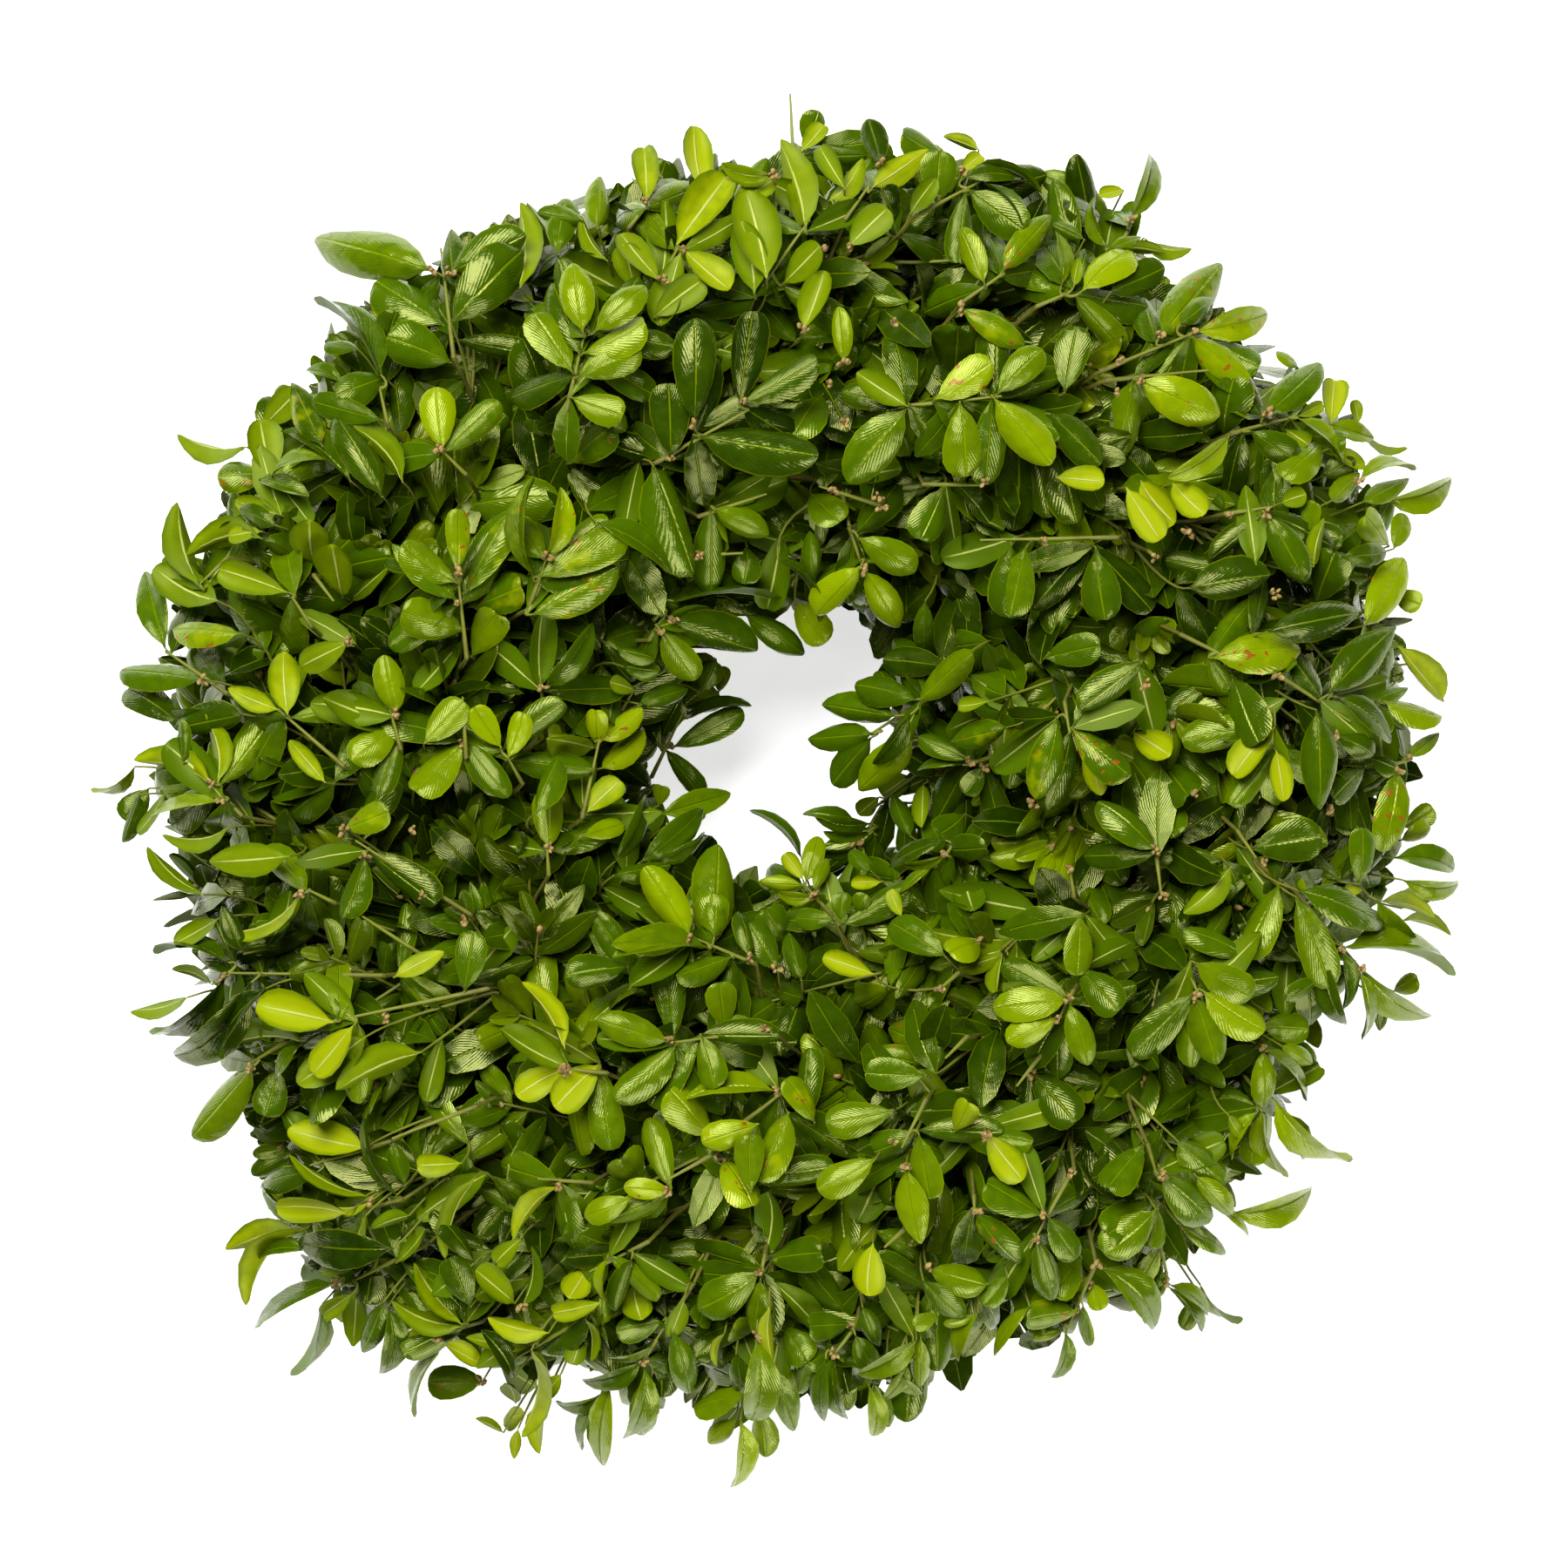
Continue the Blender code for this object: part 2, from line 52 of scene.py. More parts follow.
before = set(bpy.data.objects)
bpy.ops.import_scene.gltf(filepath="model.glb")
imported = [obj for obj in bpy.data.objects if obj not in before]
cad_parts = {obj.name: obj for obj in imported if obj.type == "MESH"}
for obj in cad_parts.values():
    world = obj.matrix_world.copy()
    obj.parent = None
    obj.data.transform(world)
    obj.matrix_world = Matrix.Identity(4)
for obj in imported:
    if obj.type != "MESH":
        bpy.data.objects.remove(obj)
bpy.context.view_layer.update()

# The ring's middle comes from the straw ring's box in the model. Its section is repeated from the model, in
# metres.
RING_LOW, RING_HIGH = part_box("straw_ring")
RING_MIDDLE = Vector(((RING_LOW.x + RING_HIGH.x) / 2, (RING_LOW.y + RING_HIGH.y) / 2, 0))
STRAW_RADIUS = 0.0175
RING_AXIS_HEIGHT = 0.015
RING_RADIUS = (RING_HIGH.x - RING_LOW.x) / 2 - STRAW_RADIUS
FOLIAGE_LOW_REACH = 0.0245
FLOOR_GAP = 0.0006

# Least heights above the floor: of a bunch's dense middle, and of a stem's knee and tip.
HEART_GAP = 3 * FLOOR_GAP
STEM_GAP = 5 * FLOOR_GAP

# How finely the straw ring is divided round its section and along its length.
SECTION_STEPS = 28
RING_STEPS = 144

# The binding wire's route, as in the model.
WIRE_REACH = 0.0224
WIRE_BACK_HEIGHT = 0.00095
WIRE_BACK_ACROSS = 0.013
WIRE_LOW_ROLL = math.radians(-25)
WIRE_ARC_STEPS = 16
WIRE_LAST_SHARE = 0.5
WIRE_FIRST_SHARE = 0.78
ROWS = 12
ROW_ANGLE = 2 * math.pi / ROWS
TIE_OFFSET = 0.004

# A bunch's bound stem: where it leaves the wire.
STEM_FOOT_ARC = 0.010
STEM_FOOT_REACH = 0.0225

# Foliage envelope, as in the model: how far leaf tips come.
OUTER_MEAN = 0.187
INNER_MEAN = 0.033
FOLIAGE_TOP = 0.102
ENVELOPE_POWER = 2.3

# How far inside that a tip stays which follows the rule, and how deep an outline dip goes.
OUTLINE_MARGIN = 0.012
HOLE_MARGIN = -0.001
OUTLINE_DEPTH = 0.05

# Swells of a value along the ring: heading in degrees, width in degrees, size.
OUTER_SWELLS = (
    (218, 13, 0.021),
    (182, 20, 0.009),
    (48, 20, 0.006),
    (350, 24, -0.005),
    (110, 24, -0.009),
)
# Where tips are held back from the outline, or let past it, as a share of its depth.
OUTLINE_DIPS = (
    (341, 13, 0.15), (45, 10, 0.20), (300, 14, 0.07), (154, 10, 0.11), (118, 8, 0.05),
    (225, 12, -0.12),
)
# Where the hole is wider, or narrower, in metres.
INNER_SWELLS = (
    (76, 13, -0.019),
    (305, 16, -0.010),
    (235, 14, -0.008),
    (35, 14, 0.006),
    (266, 12, 0.008),
)

# How light the foliage is round the ring, and where shoots show their leaves' undersides.
TONE_MEAN = 0.22
TONE_SWELLS = (
    (338, 20, 0.16), (268, 16, 0.04), (225, 16, 0.06), (62, 14, 0.08), (135, 34, 0.02),
)
UNDERSIDE_MEAN = 0.10
UNDERSIDE_SWELLS = ((345, 16, 0.30), (272, 18, 0.25), (228, 18, 0.25), (62, 12, 0.25))

# Lanes of bunches, as in the model, with the number of shoots, of short inner leaves and of
# those that are set last, near the floor.
Lane = namedtuple("Lane", "name bunches low high lean shoots inner_leaves low_leaves")
LANES = {
    "outer": Lane("outer", ROWS, math.radians(-17), math.radians(48), 3.6, 12, 44, 40),
    "top": Lane("top", ROWS, math.radians(48), math.radians(124), 6.0, 10, 36, 0),
    "inner": Lane("inner", ROWS // 2, math.radians(124), math.radians(197), 6.0, 11, 44, 0),
}
LOW_SHARE = 0.6
LEAST_INNER_SHARE = 0.1
INNER_STEP = 0.08

# The dense middle of a bunch, as shares of the bunch's depth.
HEART_FOOT = 0.02
HEART_DEPTH = 0.3
HEART_ROUGHNESS = 0.06
HEART_ROUNDING = 0.1

# Shoots that follow the rule: how far they may be drawn in and by which steps, how many pairs
# of leaves they have, and from which pair on their leaves are cupped or plain.
LEAST_SHARE = 0.3
SHARE_STEP = 0.06
PAIRS = 8
CUPPED_PAIRS = 3
PLAIN_PAIR = 6
MISSING_SHARE = 0.04
GOLDEN_SHARE = 0.618

# Buds: how many sit together, and how long they are at a shoot's tip and where pictured.
BUD_CLUSTER = 5
CLUSTER_BUD = 0.0032
TIP_BUD = 0.0030
PICTURED_BUD = 0.0022
Cell = namedtuple("Cell", "lane start angle")

# A leaf's outline: share of the length, and share of the half width there.
OVAL = (
    (0, 0.05), (0.05, 0.12), (0.15, 0.52), (0.32, 0.86), (0.53, 1.0),
    (0.73, 0.94), (0.88, 0.71), (0.97, 0.40), (1, 0.12),
)
BLUNT = (
    (0, 0.05), (0.06, 0.12), (0.18, 0.48), (0.38, 0.81), (0.58, 0.98),
    (0.78, 0.98), (0.91, 0.78), (0.98, 0.48), (1, 0.2),
)
POINTED = (
    (0, 0.05), (0.06, 0.12), (0.17, 0.55), (0.32, 0.88), (0.48, 1.0),
    (0.66, 0.88), (0.83, 0.6), (0.95, 0.28), (1, 0.05),
)
PLAIN = ((0, 0.06), (0.25, 0.75), (0.55, 1.0), (0.84, 0.7), (1, 0.1))

# How leaves of a kind vary, each as a lowest and highest value. Bend and twist are in radians.
LeafKind = namedtuple("LeafKind", "outline across bend fold cup twist sway copies")
LEAF_KINDS = {
    "oval": LeafKind(OVAL, 4, (-0.3, 1.1), (0.0, 0.5), (-1.0, -0.3), 0.45, 0.1, 14),
    "blunt": LeafKind(BLUNT, 4, (-0.3, 1.1), (0.0, 0.45), (-1.0, -0.3), 0.4, 0.08, 12),
    "pointed": LeafKind(POINTED, 4, (-0.2, 1.3), (0.1, 0.6), (-0.8, -0.1), 0.45, 0.15, 12),
    "young": LeafKind(OVAL, 4, (-0.5, 0.3), (0.2, 0.6), (-0.1, 0.3), 0.25, 0.06, 6),
    "arched": LeafKind(POINTED, 4, (0.6, 1.2), (0.3, 0.7), (-0.4, 0.0), 0.3, 0.12, 8),
    "cupped": LeafKind(BLUNT, 4, (-2.0, -1.5), (0.1, 0.2), (0.5, 0.8), 0.1, 0.02, 4),
    "plain": LeafKind(PLAIN, 2, (-0.3, 1.0), (0.1, 0.4), (-0.4, 0.0), 0.4, 0.1, 8),
}
LEAF_THICKNESS = 0.024
LEAF_PLUMPNESS = 0.11
MOULD_WIDTH = 0.5

# Node sockets of a colour Mix node, which has the same names for several kinds of value.
MIX_FIRST, MIX_SECOND, MIX_RESULT = 6, 7, 2

# Vertex colours of a leaf: tone, youth, blemish, and a random value that looks may use.
TINT = "tint"
LEAF_MAP = "leaf"

# The photograph's frame in pixels, and what one pixel spans at the middle of the foliage.
PHOTO_SIDE = 1800
PIXEL_SIZE = 0.000235
PIXEL_HEIGHT = 0.055
HOLE_PIXEL = (905, 868)
SENSOR_WIDTH = 0.036

# Pictured shoots: how high their leaves lie and how they are stacked and turned.
SURFACE_SHARE = 0.92
RIM_RISE = 0.2
LEAF_LAYER = 0.0006
STEEPEST = 0.6
ROUNDEST = 0.6
SLIMMEST = 0.36
USUAL_WIDTH = 0.42
LEAST_SEEN = 0.4
TWIG_DEPTH = 0.016
TWIG_RADIUS = 0.0004
TWIG_SINK = 0.003
TWIG_REACH = 0.005
TWIG_START = 0.8
STEM_SINK = 0.0035
BUD_HOLD = 0.006
COVER_SQUARE = 0.004
COVER_MARGIN = 0.0015

# The stage: the floor's side, and places and widths of the two soft lights, in metres.
FLOOR_SIDE = 6
KEY_PLACE = (-0.4, 0.85, 1.5)
KEY_WIDTH = 1.3
FILL_PLACE = (0.7, -1.1, 0.8)
FILL_WIDTH = 0.9

# Shoots that the photograph shows, placed in its pixels. A stem goes from its hidden end
# to its open one. A leaf has the places of its stalk and its tip, its width, and how light it
# is in hundredths, and the lowest comes first. Under leaves show their lower sides. The rise
# above the foliage's swell is in millimetres.
Sprig = namedtuple("Sprig", "stem rise under upper spotted buds", defaults=(None, 0, (), (), (), ()))
SPRIGS = (
    # Upper left edge.
    Sprig(
        stem=(521, 412, 506, 285), buds=((500, 305), (515, 305)),
        upper=(
            (525, 332, 519, 264, 32, 25), (506, 370, 434, 322, 58, 40), (514, 411, 445, 384, 52, 42),
            (518, 371, 596, 286, 62, 30), (496, 310, 376, 292, 60, 48), (517, 312, 603, 268, 46, 35),
        ),
    ),
    Sprig(
        stem=(446, 492, 436, 446),
        upper=(
            (440, 392, 453, 357, 36, 30), (437, 430, 364, 348, 24, 38), (410, 400, 372, 397, 22, 35),
            (393, 440, 351, 426, 17, 35), (438, 482, 359, 457, 31, 34), (436, 428, 386, 456, 42, 34),
        ),
    ),
    Sprig(stem=(535, 545, 507, 517), upper=((508, 516, 502, 444, 41, 75),), buds=((507, 517),)),
    Sprig(
        stem=(328, 597, 309, 545),
        under=(
            (283, 513, 219, 507, 23, 60), (300, 490, 340, 446, 35, 60), (318, 590, 270, 575, 26, 65),
            (309, 546, 303, 481, 43, 65),
        ),
        upper=((297, 550, 355, 570, 22, 35), (312, 545, 374, 528, 18, 50)),
        spotted=((303, 542, 251, 546, 42, 40),),
    ),
    Sprig(
        upper=((402, 552, 322, 495, 24, 25), (439, 570, 385, 478, 40, 25), (317, 603, 275, 585, 25, 28)),
        spotted=((370, 512, 335, 439, 36, 28),),
    ),
    Sprig(under=((462, 553, 405, 487, 24, 50),)),
    # Top edge, left of the spike.
    Sprig(
        stem=(722, 262, 747, 230), buds=((748, 227),),
        under=(
            (597, 330, 598, 232, 35, 66), (697, 299, 668, 248, 19, 60), (756, 322, 715, 267, 39, 66),
            (727, 327, 712, 281, 35, 62), (742, 232, 738, 172, 31, 75),
        ),
        upper=((640, 292, 652, 228, 37, 42), (668, 252, 617, 243, 24, 40), (686, 262, 688, 203, 29, 52)),
    ),
    Sprig(
        stem=(754, 328, 780, 282), buds=((788, 285), (762, 322)),
        under=((777, 281, 833, 200, 47, 78), (806, 215, 798, 150, 37, 85), (785, 288, 838, 332, 40, 78)),
    ),
    Sprig(
        stem=(866, 340, 930, 252), buds=((893, 200),),
        under=(
            (842, 226, 890, 206, 30, 70), (866, 336, 850, 254, 40, 50), (925, 260, 897, 160, 35, 68),
            (880, 319, 855, 219, 53, 62), (751, 364, 809, 325, 37, 52), (900, 320, 940, 280, 40, 55),
        ),
        upper=((888, 200, 828, 188, 15, 60),),
    ),
    # The spike at the top, and the leaves right of it.
    Sprig(
        stem=(911, 190, 907, 108), buds=((919, 140),),
        under=((920, 172, 945, 145, 25, 75), (970, 217, 942, 168, 25, 60)),
        upper=((925, 160, 938, 131, 32, 45),),
    ),
    Sprig(
        stem=(970, 253, 998, 213), buds=((971, 272), (947, 287)),
        under=(
            (975, 280, 1022, 242, 38, 55), (952, 230, 991, 182, 22, 72), (1002, 215, 1066, 172, 32, 80),
            (1045, 245, 1075, 205, 25, 50),
        ),
        upper=((1030, 246, 1012, 216, 36, 12),),
    ),
    Sprig(
        under=((1124, 172, 1083, 156, 11, 75), (1105, 195, 1128, 180, 20, 80)),
        upper=(
            (1011, 187, 993, 142, 30, 18), (1085, 172, 1036, 150, 38, 42), (1077, 228, 1083, 175, 43, 45),
        ),
        buds=((1027, 170), (1108, 193)),
    ),
    Sprig(
        stem=(1047, 250, 1140, 201),
        upper=(
            (1105, 205, 1172, 205, 22, 25), (1120, 190, 1196, 222, 12, 35), (1113, 218, 1180, 262, 46, 35),
            (1175, 260, 1131, 211, 13, 30),
        ),
    ),
    Sprig(under=((923, 379, 948, 311, 33, 68),), buds=((923, 383),)),
    Sprig(upper=((969, 416, 962, 352, 24, 65),), buds=((976, 420), (952, 440), (962, 432))),
    Sprig(upper=((1097, 430, 1093, 373, 58, 32),), buds=((1024, 372),)),
    # The glossy shoot right of the top, with the long leaf under it.
    Sprig(
        stem=(1000, 470, 1150, 455), rise=4,
        under=((1041, 466, 984, 427, 32, 50),),
        upper=(
            (1145, 452, 1198, 402, 37, 50), (1102, 463, 1107, 548, 48, 52), (1040, 470, 975, 555, 52, 45),
            (1142, 458, 1207, 533, 45, 66),
        ),
        spotted=((1074, 458, 1136, 412, 40, 78),),
    ),
    Sprig(upper=((945, 447, 912, 503, 48, 42), (1205, 475, 1262, 535, 40, 25)), buds=((971, 488),)),
    Sprig(
        stem=(1104, 348, 1153, 313), buds=((1105, 347),),
        spotted=(
            (1130, 325, 1102, 262, 30, 60), (1151, 311, 1207, 248, 32, 52), (1103, 354, 1176, 397, 32, 52),
        ),
    ),
    Sprig(
        stem=(1190, 352, 1222, 338),
        under=((1233, 328, 1238, 297, 15, 65),),
        upper=(
            (1222, 450, 1240, 375, 40, 28), (1218, 328, 1212, 265, 14, 55), (1245, 275, 1208, 258, 16, 35),
            (1243, 333, 1299, 288, 45, 88),
        ),
    ),
    # Upper right edge.
    Sprig(
        stem=(1290, 275, 1298, 258), buds=((1297, 263),),
        under=(
            (1290, 218, 1262, 222, 18, 85), (1286, 284, 1338, 290, 15, 58), (1313, 273, 1368, 286, 19, 62),
        ),
        upper=(
            (1270, 245, 1222, 244, 40, 22), (1272, 285, 1256, 226, 15, 50), (1273, 285, 1310, 272, 15, 50),
            (1298, 253, 1310, 192, 25, 50),
        ),
    ),
    Sprig(
        stem=(1262, 427, 1373, 381), buds=((1285, 413), (1373, 381), (1331, 391)),
        upper=(
            (1275, 335, 1335, 303, 38, 25), (1355, 372, 1391, 342, 24, 42), (1390, 390, 1444, 425, 40, 38),
        ),
        spotted=(
            (1333, 385, 1400, 303, 50, 50), (1370, 387, 1433, 437, 36, 66), (1372, 381, 1455, 361, 30, 68),
        ),
    ),
    Sprig(
        stem=(1268, 437, 1387, 425), buds=((1304, 427), (1282, 451)),
        upper=((1412, 495, 1420, 430, 52, 30),),
        spotted=((1308, 436, 1400, 478, 50, 68),),
    ),
    Sprig(upper=((1411, 500, 1340, 548, 26, 80),)),
    Sprig(
        stem=(1412, 498, 1492, 477), buds=((1455, 485),),
        under=((1480, 490, 1500, 512, 24, 55), (1490, 478, 1518, 465, 16, 72)),
        upper=(
            (1435, 495, 1490, 528, 36, 28), (1455, 475, 1513, 418, 40, 42), (1520, 505, 1475, 550, 42, 55),
            (1492, 420, 1465, 406, 20, 65), (1490, 480, 1542, 530, 20, 60),
        ),
    ),
    Sprig(
        under=(
            (1528, 487, 1535, 437, 32, 88), (1560, 485, 1555, 459, 15, 70), (1563, 490, 1608, 518, 17, 62),
            (1525, 515, 1567, 537, 20, 75),
        ),
        upper=(
            (1520, 545, 1555, 530, 30, 28), (1525, 487, 1575, 505, 25, 58), (1560, 552, 1615, 545, 18, 58),
        ),
        buds=((1563, 543),),
    ),
    # The pale glossy shoot at the upper left, and its neighbours.
    Sprig(
        stem=(650, 472, 673, 376), rise=8,
        upper=(
            (656, 426, 608, 362, 46, 52), (664, 432, 736, 402, 43, 52), (670, 405, 739, 366, 45, 58),
            (683, 380, 742, 329, 36, 55), (656, 455, 717, 473, 37, 55), (669, 381, 657, 302, 39, 62),
        ),
    ),
    Sprig(
        stem=(752, 532, 860, 470), rise=5, buds=((803, 483), (753, 532), (850, 470)),
        upper=(
            (770, 526, 762, 440, 46, 18), (803, 501, 940, 520, 54, 22), (797, 487, 800, 365, 49, 20),
            (852, 461, 937, 410, 37, 28),
        ),
    ),
    # Left edge.
    Sprig(
        stem=(262, 640, 228, 672),
        under=(
            (250, 620, 268, 597, 22, 65), (300, 610, 262, 618, 22, 72), (300, 618, 215, 637, 24, 66),
            (228, 672, 205, 578, 22, 52), (353, 643, 360, 598, 45, 60),
        ),
    ),
    Sprig(stem=(358, 720, 336, 686), under=((330, 680, 252, 655, 36, 66),)),
    Sprig(stem=(360, 660, 383, 690), under=((385, 682, 386, 627, 52, 66),)),
    Sprig(
        stem=(262, 797, 190, 747), buds=((232, 770),),
        under=((250, 690, 182, 655, 45, 52),),
        upper=((205, 830, 150, 795, 42, 18), (190, 745, 170, 657, 38, 42), (232, 780, 147, 775, 40, 42)),
        spotted=((275, 727, 200, 722, 38, 60),),
    ),
    Sprig(
        stem=(395, 880, 320, 815),
        under=((320, 815, 262, 790, 26, 78), (330, 820, 325, 748, 36, 78), (373, 898, 332, 850, 22, 76)),
        upper=((280, 820, 202, 838, 38, 22), (210, 875, 208, 825, 18, 35)),
    ),
    Sprig(under=((400, 738, 347, 768, 32, 60),), buds=((410, 735),)),
    Sprig(
        stem=(278, 937, 245, 901), buds=((245, 902), (257, 917)),
        under=((250, 898, 235, 820, 27, 70), (243, 900, 158, 872, 28, 78)),
        upper=((165, 905, 145, 940, 34, 32), (155, 880, 123, 905, 12, 62), (252, 920, 175, 938, 26, 62)),
    ),
    # The shoot left of the hole that points up.
    Sprig(
        stem=(536, 756, 526, 665), rise=8, buds=((525, 660), (531, 688)),
        upper=((524, 690, 450, 625, 40, 42), (530, 722, 462, 700, 46, 52), (523, 668, 463, 622, 40, 50)),
        spotted=((525, 655, 523, 584, 28, 58),),
    ),
    Sprig(
        stem=(460, 860, 448, 815), rise=5, buds=((442, 815),),
        upper=((455, 820, 440, 752, 34, 60), (455, 835, 402, 872, 40, 58)),
    ),
    Sprig(
        stem=(535, 870, 531, 800), rise=5, buds=((528, 850),),
        upper=((487, 853, 535, 807, 38, 58), (530, 853, 480, 912, 46, 58)),
    ),
    Sprig(
        upper=((538, 752, 575, 706, 42, 58),),
        spotted=((537, 695, 598, 668, 42, 40), (533, 683, 587, 592, 38, 46)),
    ),
    Sprig(spotted=((652, 528, 705, 490, 45, 38),)),
    # The spotted shoot that stands up at the left.
    Sprig(
        stem=(606, 700, 628, 640), rise=7, buds=((629, 636),),
        spotted=(
            (612, 705, 710, 654, 46, 46), (613, 662, 614, 546, 29, 48), (618, 662, 720, 621, 42, 48),
            (628, 640, 643, 559, 24, 72),
        ),
    ),
    Sprig(rise=6, upper=((685, 600, 770, 658, 30, 40), (750, 535, 792, 662, 64, 40))),
    Sprig(
        stem=(745, 735, 765, 703), buds=((763, 705), (748, 732)),
        upper=(
            (773, 690, 905, 693, 38, 26), (855, 705, 923, 753, 32, 40), (708, 745, 752, 757, 20, 35),
            (773, 712, 871, 750, 50, 24), (760, 725, 802, 780, 38, 50),
        ),
    ),
    Sprig(
        under=((728, 792, 700, 785, 22, 68),),
        upper=((715, 765, 757, 772, 25, 34), (733, 808, 790, 792, 26, 34)),
    ),
    Sprig(stem=(627, 848, 620, 775), upper=((625, 790, 680, 715, 28, 34),), buds=((618, 770),)),
    Sprig(
        stem=(600, 900, 583, 870), rise=5,
        upper=((575, 858, 546, 810, 30, 72), (583, 870, 598, 817, 28, 76)),
    ),
    Sprig(
        stem=(668, 940, 688, 850), rise=8,
        under=((672, 933, 718, 898, 34, 76),),
        upper=((615, 935, 640, 870, 34, 42),),
        spotted=((690, 850, 738, 814, 26, 88), (690, 882, 738, 838, 32, 92), (686, 857, 684, 815, 27, 95)),
    ),
    # Round the hole.
    Sprig(
        stem=(748, 892, 783, 820), buds=((762, 858),),
        upper=(
            (760, 848, 780, 803, 26, 22), (748, 905, 705, 870, 36, 18), (772, 858, 853, 815, 34, 38),
            (790, 825, 863, 810, 20, 34),
        ),
    ),
    Sprig(upper=((755, 925, 765, 902, 22, 62), (770, 945, 810, 928, 22, 46), (757, 935, 840, 911, 32, 48))),
    Sprig(stem=(802, 593, 880, 567), upper=((820, 585, 882, 615, 32, 48),)),
    Sprig(stem=(803, 637, 853, 635), upper=((857, 625, 856, 672, 34, 28),), buds=((803, 636),)),
    Sprig(rise=-8, upper=((805, 795, 822, 760, 30, 34),), spotted=((825, 795, 833, 765, 20, 60),)),
    Sprig(
        stem=(975, 605, 990, 652), rise=3, buds=((991, 652), (996, 668)),
        upper=(
            (935, 670, 930, 608, 24, 40), (893, 642, 940, 718, 14, 34), (912, 690, 946, 742, 40, 64),
            (985, 617, 1052, 655, 40, 50), (992, 655, 1030, 722, 36, 64), (988, 650, 935, 708, 42, 76),
        ),
    ),
    Sprig(upper=((1062, 690, 1060, 748, 24, 32),)),
    Sprig(
        stem=(1075, 795, 999, 843), rise=4,
        upper=(
            (1085, 765, 1010, 765, 36, 16), (1045, 820, 1000, 878, 24, 20), (1000, 847, 958, 903, 38, 32),
            (1002, 842, 927, 850, 32, 40), (1027, 822, 944, 808, 36, 42), (1052, 803, 980, 787, 38, 34),
            (1118, 745, 1056, 801, 34, 52),
        ),
    ),
    Sprig(
        stem=(1060, 885, 1000, 930),
        under=(
            (1060, 900, 1058, 950, 22, 60), (1045, 890, 1010, 910, 32, 64), (1010, 915, 985, 935, 24, 50),
        ),
        upper=((1018, 912, 1040, 940, 20, 34), (1048, 850, 985, 908, 42, 58)),
    ),
    # Right of the hole.
    Sprig(
        stem=(1010, 580, 940, 558), buds=((1009, 572), (1012, 584), (958, 563)),
        upper=((930, 562, 968, 597, 42, 48),),
    ),
    Sprig(stem=(1060, 556, 1128, 557), upper=((1085, 557, 1052, 618, 44, 38),), buds=((1128, 554),)),
    Sprig(stem=(1283, 617, 1125, 620), under=((1212, 548, 1268, 552, 30, 84),), buds=((1198, 622),)),
    Sprig(
        upper=(
            (1160, 625, 1160, 710, 48, 30), (1178, 628, 1165, 708, 42, 46), (1200, 755, 1264, 745, 38, 38),
            (1258, 630, 1267, 712, 45, 32),
        ),
    ),
    Sprig(
        stem=(1222, 805, 1228, 842), rise=4,
        under=((1135, 805, 1100, 812, 18, 66),),
        upper=((1310, 760, 1237, 813, 38, 32),),
        spotted=(
            (1156, 835, 1092, 852, 30, 40), (1213, 825, 1190, 918, 40, 42), (1232, 838, 1296, 893, 44, 36),
        ),
    ),
    Sprig(rise=-3, under=((1250, 855, 1265, 913, 26, 92),), buds=((1185, 923),)),
    Sprig(
        stem=(1110, 878, 1150, 864), buds=((1115, 877), (1150, 863)),
        upper=(
            (1075, 890, 1040, 870, 34, 28), (1130, 880, 1105, 910, 26, 24), (1112, 872, 1055, 845, 26, 34),
            (1105, 878, 1050, 885, 18, 40),
        ),
    ),
    # Right edge.
    Sprig(
        under=(
            (1293, 560, 1335, 618, 36, 86), (1315, 548, 1350, 597, 46, 88), (1350, 552, 1385, 588, 36, 84),
        ),
    ),
    Sprig(
        stem=(1405, 590, 1460, 582), buds=((1460, 582), (1410, 590)),
        under=(
            (1442, 650, 1430, 557, 34, 38), (1475, 575, 1500, 570, 24, 60), (1508, 650, 1520, 595, 20, 60),
        ),
        upper=((1455, 590, 1500, 668, 38, 34), (1500, 610, 1512, 577, 26, 50)),
    ),
    Sprig(
        upper=(
            (1528, 575, 1560, 545, 24, 54), (1590, 575, 1648, 556, 30, 62), (1563, 577, 1610, 553, 26, 50),
            (1540, 640, 1590, 635, 26, 26), (1520, 690, 1535, 635, 48, 26), (1600, 625, 1568, 590, 34, 62),
            (1600, 630, 1610, 590, 26, 56),
        ),
    ),
    Sprig(
        upper=(
            (1570, 700, 1558, 675, 30, 34), (1605, 680, 1630, 692, 28, 76), (1567, 718, 1610, 640, 42, 72),
        ),
    ),
    Sprig(
        stem=(1318, 632, 1327, 640), buds=((1327, 640), (1363, 612), (1462, 683)),
        upper=((1365, 675, 1458, 658, 48, 20),),
    ),
    Sprig(stem=(1355, 728, 1450, 775), spotted=((1393, 755, 1493, 745, 50, 64),), buds=((1317, 785),)),
    Sprig(
        stem=(1467, 775, 1550, 828), rise=5, buds=((1548, 826), (1467, 776)),
        upper=(
            (1420, 775, 1450, 850, 52, 32), (1535, 845, 1578, 865, 30, 24), (1535, 800, 1597, 853, 26, 24),
            (1455, 725, 1560, 702, 42, 18), (1525, 797, 1602, 720, 46, 26), (1511, 815, 1515, 930, 43, 32),
        ),
    ),
    Sprig(
        stem=(1563, 793, 1590, 815),
        under=((1640, 760, 1656, 806, 16, 80), (1605, 742, 1652, 802, 38, 80)),
        upper=(
            (1575, 805, 1590, 845, 26, 34), (1575, 805, 1615, 790, 20, 44), (1590, 805, 1648, 825, 34, 64),
        ),
    ),
    Sprig(
        stem=(1590, 880, 1620, 872), buds=((1620, 877), (1619, 892), (1527, 930)),
        upper=(
            (1575, 870, 1605, 885, 24, 28), (1618, 870, 1648, 842, 20, 54), (1570, 880, 1530, 915, 34, 26),
        ),
